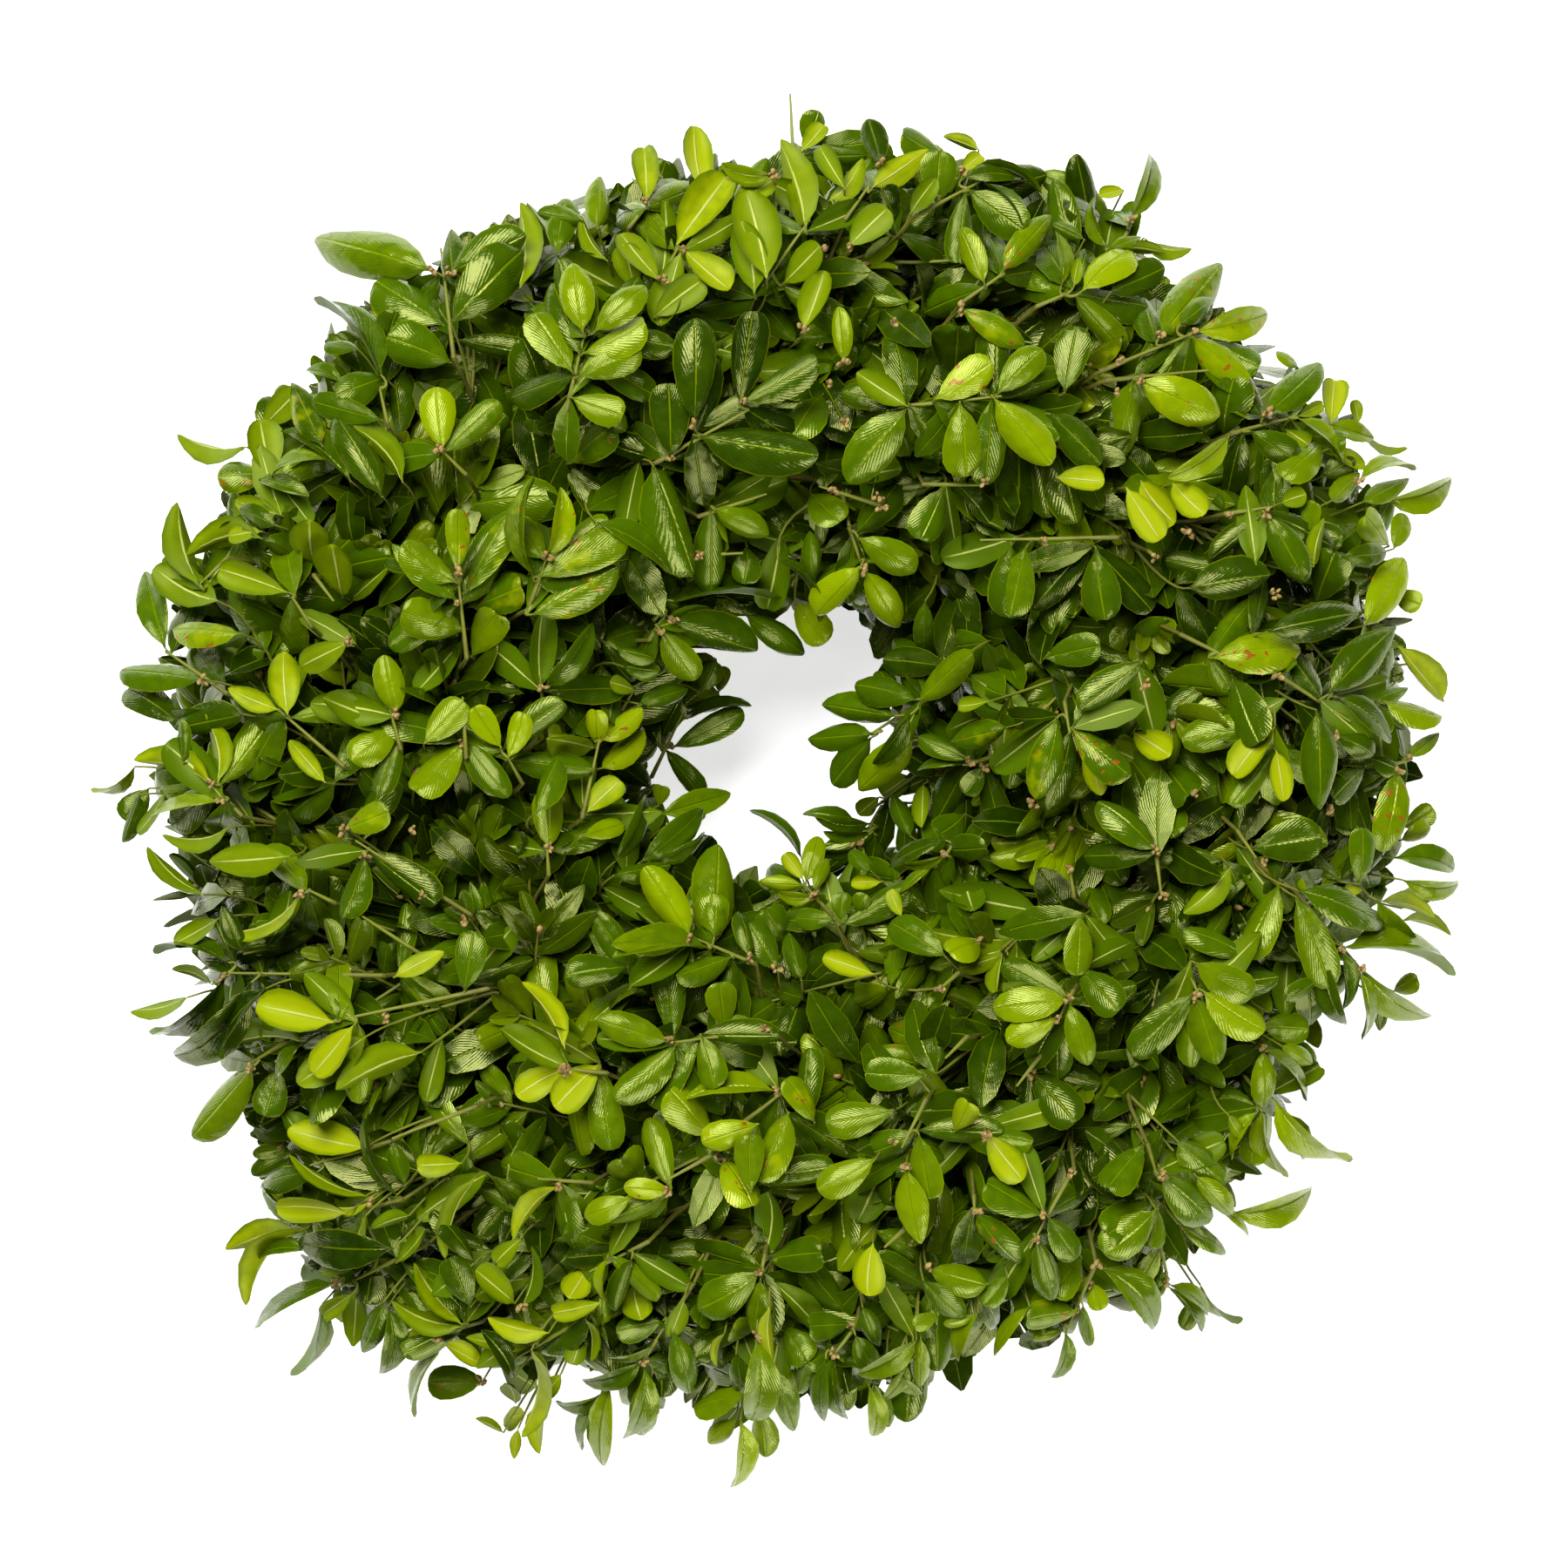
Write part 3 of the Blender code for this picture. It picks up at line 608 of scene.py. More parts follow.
        spotted=((1605, 885, 1585, 978, 42, 52),),
    ),
    Sprig(under=((1305, 840, 1340, 870, 38, 92),)),
    Sprig(
        stem=(1463, 870, 1463, 812), buds=((1371, 912),),
        under=((1465, 862, 1473, 920, 28, 92), (1463, 835, 1418, 893, 38, 88)),
    ),
    # Left edge, below the middle.
    Sprig(
        under=((190, 910, 160, 955, 24, 50), (262, 950, 188, 958, 28, 60), (332, 983, 240, 988, 40, 60)),
        upper=((160, 912, 145, 967, 22, 30),),
    ),
    Sprig(
        under=((250, 1055, 203, 1082, 26, 60), (233, 1027, 170, 972, 16, 52)),
        upper=((280, 1095, 255, 1040, 24, 16),),
    ),
    Sprig(stem=(385, 1037, 355, 1022), under=((345, 1027, 254, 1073, 16, 74),), buds=((355, 1022),)),
    Sprig(
        stem=(540, 1050, 408, 965), buds=((415, 970), (487, 1027), (532, 1060), (472, 953), (383, 950)),
        upper=((418, 982, 392, 1053, 38, 32), (533, 1138, 540, 1068, 36, 40)),
        spotted=((393, 952, 445, 928, 34, 60),),
    ),
    Sprig(stem=(490, 1100, 405, 1045), under=((452, 1122, 510, 1093, 24, 78),)),
    Sprig(
        stem=(440, 1120, 262, 1117), buds=((262, 1117),),
        under=(
            (243, 1130, 200, 1112, 14, 50), (215, 1145, 168, 1155, 22, 62), (350, 1195, 245, 1205, 28, 44),
        ),
        upper=(
            (262, 1105, 183, 1093, 22, 28), (258, 1122, 190, 1175, 26, 26), (288, 1128, 212, 1208, 36, 20),
            (305, 1135, 258, 1215, 34, 12),
        ),
    ),
    Sprig(
        stem=(560, 1135, 383, 1172), rise=4, buds=((445, 1167),),
        under=(
            (483, 1208, 385, 1250, 34, 60), (420, 1190, 342, 1245, 42, 62), (405, 1178, 357, 1230, 38, 84),
            (383, 1173, 295, 1153, 45, 94),
        ),
    ),
    # The leaves that stand out at the lower left.
    Sprig(
        stem=(330, 1195, 285, 1222), buds=((281, 1222),),
        upper=(
            (345, 1200, 318, 1240, 16, 44), (315, 1230, 300, 1280, 40, 32), (290, 1225, 243, 1298, 46, 52),
        ),
    ),
    Sprig(stem=(547, 1270, 450, 1307), under=((418, 1318, 330, 1298, 42, 88),)),
    # Left of the hole, below the middle.
    Sprig(stem=(630, 1005, 628, 975), upper=((630, 973, 625, 908, 36, 56),), buds=((628, 988),)),
    Sprig(
        upper=(
            (705, 990, 745, 912, 22, 32), (735, 990, 810, 928, 30, 34), (750, 985, 811, 953, 16, 34),
            (705, 1005, 770, 992, 26, 34), (670, 960, 717, 948, 24, 64),
        ),
    ),
    Sprig(
        stem=(697, 1232, 628, 1224), rise=4, buds=((628, 1224), (655, 1218)),
        under=(
            (648, 1203, 600, 1127, 24, 84), (650, 1227, 592, 1257, 36, 94), (685, 1225, 640, 1275, 42, 92),
        ),
    ),
    # Below the hole.
    Sprig(
        stem=(868, 1107, 795, 1076), rise=4, buds=((795, 1076), (858, 1101)),
        upper=(
            (850, 1040, 880, 1020, 34, 16), (860, 1098, 848, 1045, 24, 28), (720, 1110, 650, 1118, 40, 32),
            (840, 1098, 775, 1120, 32, 44), (812, 1088, 703, 1100, 26, 48), (820, 1075, 823, 968, 52, 48),
            (818, 1087, 820, 1024, 42, 50), (792, 1078, 702, 1085, 36, 56), (792, 1075, 738, 996, 40, 72),
        ),
    ),
    Sprig(
        upper=(
            (810, 1020, 770, 1000, 26, 16), (920, 1125, 905, 1070, 24, 32), (900, 1085, 880, 1042, 40, 40),
            (893, 1115, 862, 1057, 40, 34), (832, 1183, 830, 1127, 38, 52),
        ),
        buds=((900, 1112),),
    ),
    Sprig(
        stem=(957, 1053, 923, 1015), rise=4, buds=((948, 1033),),
        under=((922, 1010, 900, 980, 20, 88),),
        upper=(
            (920, 985, 860, 930, 22, 38), (985, 1050, 992, 1025, 22, 44), (965, 1058, 968, 1023, 24, 44),
            (958, 1055, 913, 1052, 26, 44), (935, 1028, 893, 1025, 14, 62), (922, 1016, 870, 1012, 20, 70),
            (935, 1022, 950, 985, 18, 56), (925, 1013, 940, 960, 26, 64),
        ),
    ),
    Sprig(
        stem=(1013, 925, 983, 973), buds=((983, 972),),
        under=((1012, 1012, 977, 1013, 17, 82),),
        upper=(
            (985, 950, 921, 935, 18, 34), (1000, 955, 945, 955, 14, 44), (985, 970, 930, 972, 10, 44),
            (1000, 945, 935, 937, 20, 40), (1000, 1000, 975, 975, 20, 40), (1045, 960, 1022, 912, 22, 32),
        ),
    ),
    Sprig(
        stem=(1050, 1010, 1085, 982), buds=((1085, 982),),
        upper=(
            (1085, 965, 1020, 995, 22, 22), (1070, 995, 1033, 1025, 14, 50), (1085, 975, 1133, 972, 34, 28),
            (1110, 935, 1075, 955, 40, 32), (1085, 982, 1035, 992, 14, 56),
        ),
    ),
    Sprig(stem=(1233, 1030, 1228, 998), upper=((1240, 1050, 1233, 1120, 36, 52),), buds=((1228, 998),)),
    # The glossy shoot right of and below the hole.
    Sprig(
        stem=(1232, 1137, 1217, 1167), rise=5, buds=((1217, 1165), (1227, 1148)),
        upper=(
            (1240, 1115, 1283, 1162, 42, 36), (1228, 1152, 1250, 1223, 32, 52),
            (1213, 1168, 1155, 1195, 32, 70), (1225, 1148, 1140, 1157, 40, 64),
        ),
    ),
    Sprig(stem=(1150, 1090, 1163, 1078), upper=((1128, 1085, 1090, 1095, 40, 78),), buds=((1127, 1088),)),
    Sprig(
        stem=(1100, 1117, 1078, 1136), buds=((1078, 1136),),
        under=((1035, 1052, 1022, 1020, 18, 76), (1003, 1118, 945, 1098, 26, 88)),
        upper=((1085, 1098, 1020, 1062, 40, 42),),
    ),
    Sprig(
        stem=(1110, 1190, 1085, 1215),
        upper=((1062, 1235, 993, 1228, 38, 42), (1025, 1275, 947, 1287, 42, 50)),
    ),
    Sprig(stem=(1198, 1207, 1167, 1247), upper=((1187, 1235, 1233, 1290, 48, 26),), buds=((1172, 1230),)),
    # The yellow cupped tip below the hole.
    Sprig(
        stem=(887, 1182, 770, 1197), rise=5, buds=((770, 1197), (880, 1182)),
        upper=(
            (805, 1188, 820, 1250, 34, 46), (775, 1200, 705, 1262, 40, 46), (768, 1195, 686, 1168, 36, 50),
        ),
    ),
    Sprig(
        stem=(855, 1287, 897, 1255), buds=((898, 1265),),
        upper=((890, 1253, 787, 1262, 28, 64), (815, 1310, 765, 1255, 48, 66)),
        spotted=(
            (935, 1290, 900, 1240, 36, 56), (905, 1277, 875, 1358, 40, 55), (870, 1290, 805, 1310, 34, 78),
        ),
    ),
    # Right edge, below the middle.
    Sprig(
        stem=(1327, 978, 1333, 1027), buds=((1327, 983), (1334, 1029)),
        upper=((1327, 977, 1259, 921, 42, 36),),
    ),
    Sprig(stem=(1420, 953, 1442, 985), upper=((1440, 975, 1518, 965, 50, 28),)),
    Sprig(
        under=((1413, 995, 1358, 1048, 26, 58),),
        upper=((1430, 1098, 1357, 1068, 34, 42), (1468, 1015, 1433, 1100, 46, 50)),
        buds=((1450, 990),),
    ),
    Sprig(
        stem=(1365, 1115, 1376, 1143), rise=4, buds=((1375, 1140),),
        upper=(
            (1372, 1105, 1440, 1140, 42, 50), (1372, 1145, 1395, 1222, 40, 48),
            (1382, 1138, 1453, 1180, 44, 70),
        ),
    ),
    Sprig(
        stem=(1430, 1190, 1450, 1202), buds=((1450, 1201),),
        upper=(
            (1452, 1180, 1502, 1185, 38, 44), (1470, 1200, 1505, 1220, 22, 55),
            (1450, 1205, 1450, 1272, 30, 52), (1452, 1203, 1497, 1262, 22, 52),
        ),
    ),
    Sprig(
        stem=(1440, 1250, 1447, 1275),
        under=((1410, 1280, 1425, 1305, 16, 60),),
        upper=(
            (1465, 1278, 1490, 1326, 24, 36), (1450, 1290, 1440, 1338, 34, 52),
            (1444, 1276, 1414, 1332, 20, 66), (1449, 1276, 1474, 1346, 18, 72),
            (1463, 1262, 1532, 1314, 36, 80),
        ),
    ),
    Sprig(
        stem=(1483, 1020, 1560, 1110), rise=4, buds=((1560, 1110), (1540, 1086)),
        upper=(
            (1515, 1120, 1475, 1148, 26, 32), (1518, 1095, 1543, 1175, 26, 28),
            (1540, 1090, 1543, 1158, 18, 36), (1575, 1140, 1577, 1180, 20, 30),
            (1490, 1022, 1587, 1062, 46, 36), (1488, 1030, 1523, 1135, 42, 48),
            (1545, 1088, 1647, 1113, 34, 54), (1562, 1112, 1623, 1160, 24, 56),
            (1560, 1115, 1561, 1193, 22, 52),
        ),
    ),
    Sprig(
        stem=(1560, 1017, 1573, 1030),
        under=(
            (1535, 1025, 1563, 1022, 12, 82), (1585, 1035, 1627, 1050, 18, 80),
            (1610, 1057, 1652, 1071, 16, 60), (1620, 1045, 1632, 1015, 42, 84),
        ),
        upper=(
            (1615, 950, 1640, 925, 30, 50), (1610, 965, 1637, 950, 24, 62), (1600, 985, 1647, 995, 26, 42),
            (1605, 1140, 1628, 1125, 26, 62), (1560, 1015, 1560, 950, 34, 42),
            (1580, 1033, 1612, 1082, 22, 48), (1610, 1010, 1655, 1010, 22, 56),
        ),
    ),
    # Lower left edge.
    Sprig(
        stem=(450, 1310, 356, 1338),
        under=((530, 1335, 478, 1335, 28, 74),),
        upper=(
            (365, 1345, 303, 1358, 32, 26), (455, 1372, 418, 1282, 14, 28), (465, 1360, 450, 1315, 22, 34),
        ),
    ),
    Sprig(
        stem=(463, 1377, 340, 1408), rise=3, buds=((422, 1381),),
        under=(
            (470, 1395, 425, 1410, 16, 46), (425, 1380, 372, 1383, 10, 76), (420, 1373, 332, 1326, 14, 64),
            (338, 1410, 275, 1420, 28, 80), (352, 1410, 299, 1483, 26, 78), (420, 1395, 370, 1463, 18, 64),
            (398, 1393, 319, 1385, 34, 88),
        ),
        upper=(
            (350, 1400, 301, 1357, 18, 34), (355, 1435, 305, 1437, 18, 34), (452, 1433, 342, 1427, 48, 12),
        ),
    ),
    Sprig(
        stem=(493, 1427, 392, 1477), buds=((390, 1477),),
        under=((455, 1450, 488, 1410, 22, 50), (405, 1485, 373, 1508, 22, 66)),
        upper=(
            (445, 1500, 442, 1570, 20, 32), (385, 1473, 307, 1510, 28, 32), (370, 1497, 344, 1565, 16, 34),
            (440, 1495, 419, 1548, 28, 34), (425, 1455, 425, 1498, 38, 16),
        ),
    ),
    Sprig(
        stem=(555, 1516, 503, 1533), buds=((505, 1532),),
        under=(
            (530, 1523, 450, 1493, 22, 60), (530, 1520, 475, 1450, 26, 70), (503, 1535, 465, 1535, 12, 72),
            (545, 1352, 512, 1445, 16, 64),
        ),
        upper=((545, 1450, 495, 1390, 30, 16), (540, 1500, 512, 1445, 36, 26)),
    ),
    Sprig(
        upper=((505, 1550, 487, 1608, 14, 50),),
        spotted=((552, 1590, 491, 1590, 42, 46),),
        buds=((558, 1593),),
    ),
    # Bottom, left of the middle.
    Sprig(stem=(680, 1358, 617, 1353), under=((640, 1362, 590, 1423, 24, 78),), buds=((625, 1355),)),
    Sprig(
        under=(
            (597, 1423, 570, 1452, 24, 60), (600, 1500, 610, 1430, 18, 34), (590, 1498, 548, 1455, 36, 66),
        ),
        buds=((595, 1510),),
    ),
    Sprig(
        stem=(680, 1508, 585, 1563),
        under=(
            (665, 1540, 655, 1565, 26, 55), (672, 1515, 678, 1563, 14, 66), (607, 1545, 535, 1535, 26, 62),
            (555, 1568, 512, 1543, 24, 86), (630, 1530, 560, 1512, 24, 82), (590, 1615, 578, 1595, 24, 60),
            (643, 1580, 622, 1598, 22, 76), (625, 1610, 623, 1657, 22, 82), (578, 1645, 546, 1628, 12, 70),
            (595, 1640, 590, 1675, 14, 82), (600, 1628, 578, 1635, 28, 84), (610, 1550, 608, 1627, 30, 80),
        ),
        upper=((590, 1583, 552, 1528, 22, 12),),
    ),
    Sprig(spotted=((690, 1600, 638, 1607, 16, 40),)),
    Sprig(
        stem=(745, 1425, 677, 1460), buds=((677, 1458),),
        under=(
            (725, 1480, 738, 1515, 34, 72), (690, 1495, 633, 1505, 24, 76), (670, 1465, 650, 1488, 34, 94),
        ),
        upper=((725, 1445, 705, 1505, 28, 26), (697, 1445, 695, 1495, 10, 80)),
    ),
    Sprig(
        stem=(815, 1327, 765, 1355), rise=3, buds=((768, 1352), (817, 1332)),
        upper=(
            (735, 1368, 715, 1328, 46, 55), (725, 1375, 671, 1397, 30, 62), (862, 1368, 865, 1302, 34, 50),
        ),
        spotted=((828, 1335, 862, 1385, 44, 74), (768, 1367, 716, 1362, 24, 88)),
    ),
    # Bottom middle.
    Sprig(
        stem=(878, 1440, 873, 1465), buds=((873, 1462),),
        upper=(
            (880, 1450, 945, 1442, 42, 34), (872, 1460, 802, 1505, 46, 44), (873, 1470, 865, 1530, 30, 48),
        ),
    ),
    Sprig(
        stem=(880, 1490, 869, 1535), buds=((870, 1535),),
        under=((832, 1530, 822, 1568, 12, 76), (883, 1500, 887, 1572, 16, 88)),
        upper=(
            (825, 1535, 795, 1560, 30, 20), (915, 1600, 925, 1560, 26, 44), (900, 1530, 925, 1565, 38, 44),
            (845, 1555, 850, 1600, 24, 34), (872, 1620, 877, 1665, 32, 56), (885, 1570, 912, 1640, 34, 46),
            (855, 1600, 797, 1620, 36, 50), (845, 1630, 813, 1653, 24, 70), (850, 1630, 842, 1685, 26, 78),
            (865, 1535, 838, 1530, 32, 55), (868, 1535, 863, 1630, 30, 50),
        ),
    ),
    Sprig(
        stem=(797, 1473, 752, 1540),
        under=((785, 1493, 768, 1535, 24, 52),),
        upper=(
            (808, 1500, 800, 1520, 28, 38), (700, 1555, 690, 1515, 36, 32), (760, 1520, 708, 1532, 34, 32),
            (750, 1545, 697, 1558, 10, 50), (772, 1530, 790, 1600, 32, 42),
        ),
    ),
    Sprig(
        stem=(752, 1540, 738, 1564), buds=((737, 1565),),
        upper=(
            (690, 1605, 675, 1645, 22, 40), (748, 1580, 737, 1640, 34, 50), (700, 1590, 697, 1662, 34, 62),
            (738, 1563, 669, 1585, 22, 36), (740, 1570, 718, 1640, 26, 48),
        ),
    ),
    # Bottom, right of the middle.
    Sprig(
        stem=(1063, 1262, 1035, 1318), rise=3, buds=((1026, 1310), (1037, 1325)),
        upper=(
            (1055, 1303, 1072, 1376, 38, 50), (1005, 1330, 938, 1365, 38, 58),
            (1041, 1340, 1057, 1428, 37, 62),
        ),
    ),
    Sprig(stem=(1037, 1412, 1015, 1432), rise=3, under=((1003, 1432, 998, 1488, 39, 92),)),
    Sprig(stem=(1118, 1372, 1119, 1392), spotted=((1120, 1392, 1172, 1450, 36, 40),), buds=((1119, 1391),)),
    Sprig(upper=((1065, 1457, 1132, 1477, 36, 52), (1060, 1470, 1108, 1512, 30, 36)), buds=((1058, 1455),)),
    # The rosette at the bottom right.
    Sprig(
        rise=4, buds=((1127, 1322), (1123, 1320), (1130, 1318)),
        under=((1133, 1302, 1173, 1356, 38, 82),),
        upper=((1097, 1302, 1113, 1266, 30, 94),),
    ),
    Sprig(
        stem=(1233, 1340, 1182, 1433), rise=3, buds=((1230, 1345), (1200, 1395), (1182, 1432)),
        upper=(
            (1245, 1450, 1212, 1490, 40, 48), (1203, 1397, 1238, 1443, 34, 38),
            (1190, 1423, 1207, 1493, 32, 38), (1197, 1395, 1130, 1362, 42, 44),
        ),
    ),
    Sprig(
        stem=(1258, 1450, 1223, 1530), rise=3, buds=((1257, 1462), (1258, 1450)),
        upper=(
            (1255, 1475, 1262, 1503, 24, 70), (1243, 1498, 1248, 1541, 20, 44),
            (1223, 1528, 1206, 1577, 15, 44),
        ),
        spotted=((1238, 1507, 1178, 1518, 34, 46),),
    ),
    # The right foot of the wreath.
    Sprig(
        stem=(1317, 1312, 1330, 1355), rise=4, buds=((1328, 1355), (1339, 1354)),
        upper=(
            (1317, 1317, 1275, 1368, 44, 44), (1330, 1385, 1270, 1415, 50, 44),
            (1352, 1310, 1408, 1355, 42, 46), (1373, 1350, 1410, 1393, 30, 58),
            (1332, 1350, 1388, 1402, 46, 42),
        ),
    ),
    Sprig(
        stem=(1331, 1425, 1341, 1470), buds=((1341, 1472),),
        upper=(
            (1290, 1450, 1312, 1480, 20, 44), (1335, 1457, 1322, 1488, 20, 36),
            (1332, 1435, 1307, 1472, 28, 56), (1263, 1455, 1318, 1515, 36, 46),
            (1378, 1487, 1360, 1527, 24, 44), (1342, 1478, 1370, 1515, 20, 46),
            (1343, 1475, 1375, 1495, 16, 50), (1340, 1473, 1313, 1518, 18, 62),
            (1328, 1390, 1265, 1437, 46, 48), (1333, 1392, 1325, 1433, 32, 48),
        ),
    ),
    Sprig(
        upper=(
            (1352, 1405, 1402, 1433, 28, 46), (1400, 1390, 1427, 1413, 10, 80),
            (1352, 1405, 1382, 1425, 14, 60), (1378, 1475, 1425, 1511, 12, 52),
        ),
        spotted=((1413, 1393, 1493, 1352, 30, 60),),
    ),
    # The bottom fringe.
    Sprig(
        stem=(983, 1523, 957, 1555), buds=((980, 1523), (958, 1553)),
        upper=(
            (978, 1525, 929, 1527, 34, 38), (990, 1500, 1010, 1545, 22, 34),
            (982, 1533, 1010, 1580, 28, 40), (953, 1555, 925, 1570, 26, 34), (948, 1560, 945, 1629, 22, 38),
            (957, 1555, 973, 1627, 26, 36),
        ),
    ),
    Sprig(
        upper=(
            (997, 1590, 1002, 1643, 18, 60), (1002, 1587, 1018, 1634, 22, 46),
            (1020, 1572, 1058, 1600, 18, 50), (1042, 1565, 1013, 1607, 16, 54),
            (1057, 1535, 1055, 1591, 22, 58), (1052, 1538, 985, 1578, 26, 50),
            (1050, 1558, 1020, 1568, 14, 60), (1078, 1512, 1050, 1525, 20, 54),
        ),
    ),
    Sprig(
        upper=(
            (1120, 1510, 1083, 1520, 14, 56), (1123, 1507, 1100, 1563, 16, 62),
            (1157, 1465, 1127, 1497, 26, 44), (1182, 1500, 1141, 1556, 18, 60),
            (1220, 1528, 1185, 1537, 14, 58),
        ),
    ),
)

PicturedLeaf = namedtuple("PicturedLeaf", "root tip facing width tint slimness is_edgewise")
Picture = namedtuple("Picture", "homes cover")


def linear(code):
    """Scene-linear red, green and blue of an sRGB hex colour."""
    channels = [int(code[place : place + 2], 16) / 255 for place in (1, 3, 5)]
    return tuple(
        channel / 12.92 if channel <= 0.04045 else ((channel + 0.055) / 1.055) ** 2.4
        for channel in channels
    )


def opaque(colour):
    return (*colour, 1.0)


def length_property(name, description, metres):
    return FloatProperty(name=name, description=description, default=metres, unit="LENGTH")


def colour_property(name, description, code):
    return FloatVectorProperty(
        name=name,
        description=description,
        default=linear(code),
        subtype="COLOR",
        size=3,
        min=0,
        max=1,
    )


class LeafLooks(bpy.types.PropertyGroup):
    """Size and colours of the boxwood leaves."""

    length: length_property("Leaf length", "Length of a full-grown leaf", 0.0225)
    width_share: FloatProperty(
        name="Leaf width",
        description="Width of a leaf as a share of its length",
        default=0.44,
        subtype="FACTOR",
        min=0.2,
        max=0.9,
    )
    # Painted shade and light: the dark and bright leaf colours stand partly for the leaves' own tone and
    # partly for shade from other leaves and for full light.
    dark: colour_property("Dark leaf", "Old leaf in the shade of others", "#1a2d00")
    middle: colour_property("Leaf", "Full-grown leaf", "#446000")
    bright: colour_property("Bright leaf", "Last year's leaf in full light", "#829700")
    young: colour_property("Young leaf", "Soft leaf at the tip of a shoot", "#98a404")
    underside: colour_property("Underside", "Matt lower side of a leaf", "#738600")
    underside_young: colour_property("Young underside", "Lower side at a tip", "#96a204")
    rib: colour_property("Midrib", "Raised rib on the lower side", "#b6be60")
    spot: colour_property("Spot", "Rust-brown spot of a weathered leaf", "#8a5212")
    dry: colour_property("Dry end", "Dead end of a leaf", "#b58d63")
    gloss: colour_property("Light off the wax", "Tint of the leaf's reflections", "#faff9c")


class WoodLooks(bpy.types.PropertyGroup):
    """Shoots, buds and what shows between the leaves."""

    shoot_radius: length_property("Shoot radius", "Radius of a shoot where it leaves the bunch", 0.0008)
    node_gap: length_property("Pair gap", "Distance between two pairs of leaves on a shoot", 0.0078)
    green_bark: colour_property("Young shoot", "Bark near the tip", "#767c1c")
    brown_bark: colour_property("Old shoot", "Bark near the foot", "#4c3f14")
    bud: colour_property("Bud", "Dry bud scales", "#ab9150")
    bud_edge: colour_property("Bud edge", "Edges of the bud scales", "#6e5424")
    # Painted shade: a near-black green for the dense core of each bunch, standing for old wood and leaves
    # where only shade falls.
    shade: colour_property("Shaded wood", "Old wood deep in the bunch", "#141c0a")


class RingLooks(bpy.types.PropertyGroup):
    """The straw ring and its wire."""

    straw: colour_property("Straw", "Pressed straw", "#b08c4a")
    # Painted light and shade on the straw: the brightest straws stand for straws in full light and the
    # darkest for shade in the gaps, over the straws' own random tone.
    straw_light: colour_property("Bright straw", "Straws in full light", "#d9bd7c")
    straw_dark: colour_property("Straw shade", "Gaps between the straws", "#5d4420")
    wire_radius: length_property("Wire radius", "Radius of the binding wire", 0.0006)
    wire: colour_property("Wire", "Green lacquer of florist's wire", "#2c4a2a")
    steel: colour_property("Steel", "Bare wire where the lacquer is worn", "#8c8f8c")


class StageLooks(bpy.types.PropertyGroup):
    """Floor, lights and camera."""

    floor: colour_property("Floor", "Plain pale floor", "#f4f4f2")
    floor_glow: FloatProperty(
        name="Floor glow", description="How far the floor is lit from below", default=0.7
    )
    lens: FloatProperty(
        name="Lens",
        description="Focal length of the camera on a 36 mm sensor, in millimetres",
        default=85,
    )
    key_power: FloatProperty(
        name="Key light", description="Power of the main soft light", default=50, unit="POWER"
    )
    fill_power: FloatProperty(
        name="Fill light", description="Power of the second soft light", default=15, unit="POWER"
    )
    sky: FloatProperty(
        name="Room light", description="Strength of the light from all round", default=0.05
    )
    seed: IntProperty(name="Seed", description="Starts every random draw", default=7)


def wreath_point(heading, reach, roll):
    radius = RING_RADIUS + reach * math.cos(roll)
    height = RING_AXIS_HEIGHT + reach * math.sin(roll)
    return RING_MIDDLE + Vector((radius * math.sin(heading), radius * math.cos(heading), height))


def wreath_position(point):
    """Heading, reach and roll of a point, with the roll between -90 and 270 degrees."""
    flat = point - RING_MIDDLE
    across = math.hypot(flat.x, flat.y) - RING_RADIUS
    up = flat.z - RING_AXIS_HEIGHT
    roll = math.atan2(up, across)
    if roll < -math.pi / 2:
        roll += 2 * math.pi
    return math.atan2(flat.x, flat.y), math.hypot(across, up), roll


def swollen(mean, swells, heading):
    """The mean with each swell added as a smooth hump round its own heading."""
    total = mean
    for middle, width, size in swells:
        apart = math.remainder(math.degrees(heading) - middle, 360)
        total += size * math.exp(-((apart / width) ** 2))
    return total


def half_width(heading, is_outer):
    """How far the foliage comes from the middle of the straw on the outer or the hole's side."""
    if is_outer:
        return swollen(OUTER_MEAN, OUTER_SWELLS, heading) - RING_RADIUS
    return RING_RADIUS - swollen(INNER_MEAN, INNER_SWELLS, heading)


def envelope_reach(heading, roll):
    """How far from the middle of the straw the leaf tips come, at a heading and a roll."""
    across = half_width(heading, math.cos(roll) > 0)
    up = FOLIAGE_TOP - RING_AXIS_HEIGHT
    level = (abs(math.cos(roll)) / across) ** ENVELOPE_POWER
    upright = (abs(math.sin(roll)) / up) ** ENVELOPE_POWER
    return (level + upright) ** (-1 / ENVELOPE_POWER)


def passes_outline(point):
    """Whether a leaf tip here would stand out of the wreath's outline, or into its hole."""
    heading, reach, roll = wreath_position(point)
    is_outer = math.cos(roll) > 0
    limit = half_width(heading, is_outer) - (OUTLINE_MARGIN if is_outer else HOLE_MARGIN)
    if is_outer:
        limit -= OUTLINE_DEPTH * swollen(0, OUTLINE_DIPS, heading)
    return abs(reach * math.cos(roll)) > limit


def cell_point(cell, along, across, share):
    """A point in a bunch's own leaning space: each share runs from 0 to 1 inside its borders."""
    lane = cell.lane
    roll = lane.low + (lane.high - lane.low) * across
    heading = cell.start + cell.angle * along
    reach = FOLIAGE_LOW_REACH
    for _ in range(3):
        limit = envelope_reach(heading + lane.lean * (reach - STRAW_RADIUS), roll)
        reach = FOLIAGE_LOW_REACH + (limit - FOLIAGE_LOW_REACH) * share
    return wreath_point(heading + lane.lean * (reach - STRAW_RADIUS), reach, roll)


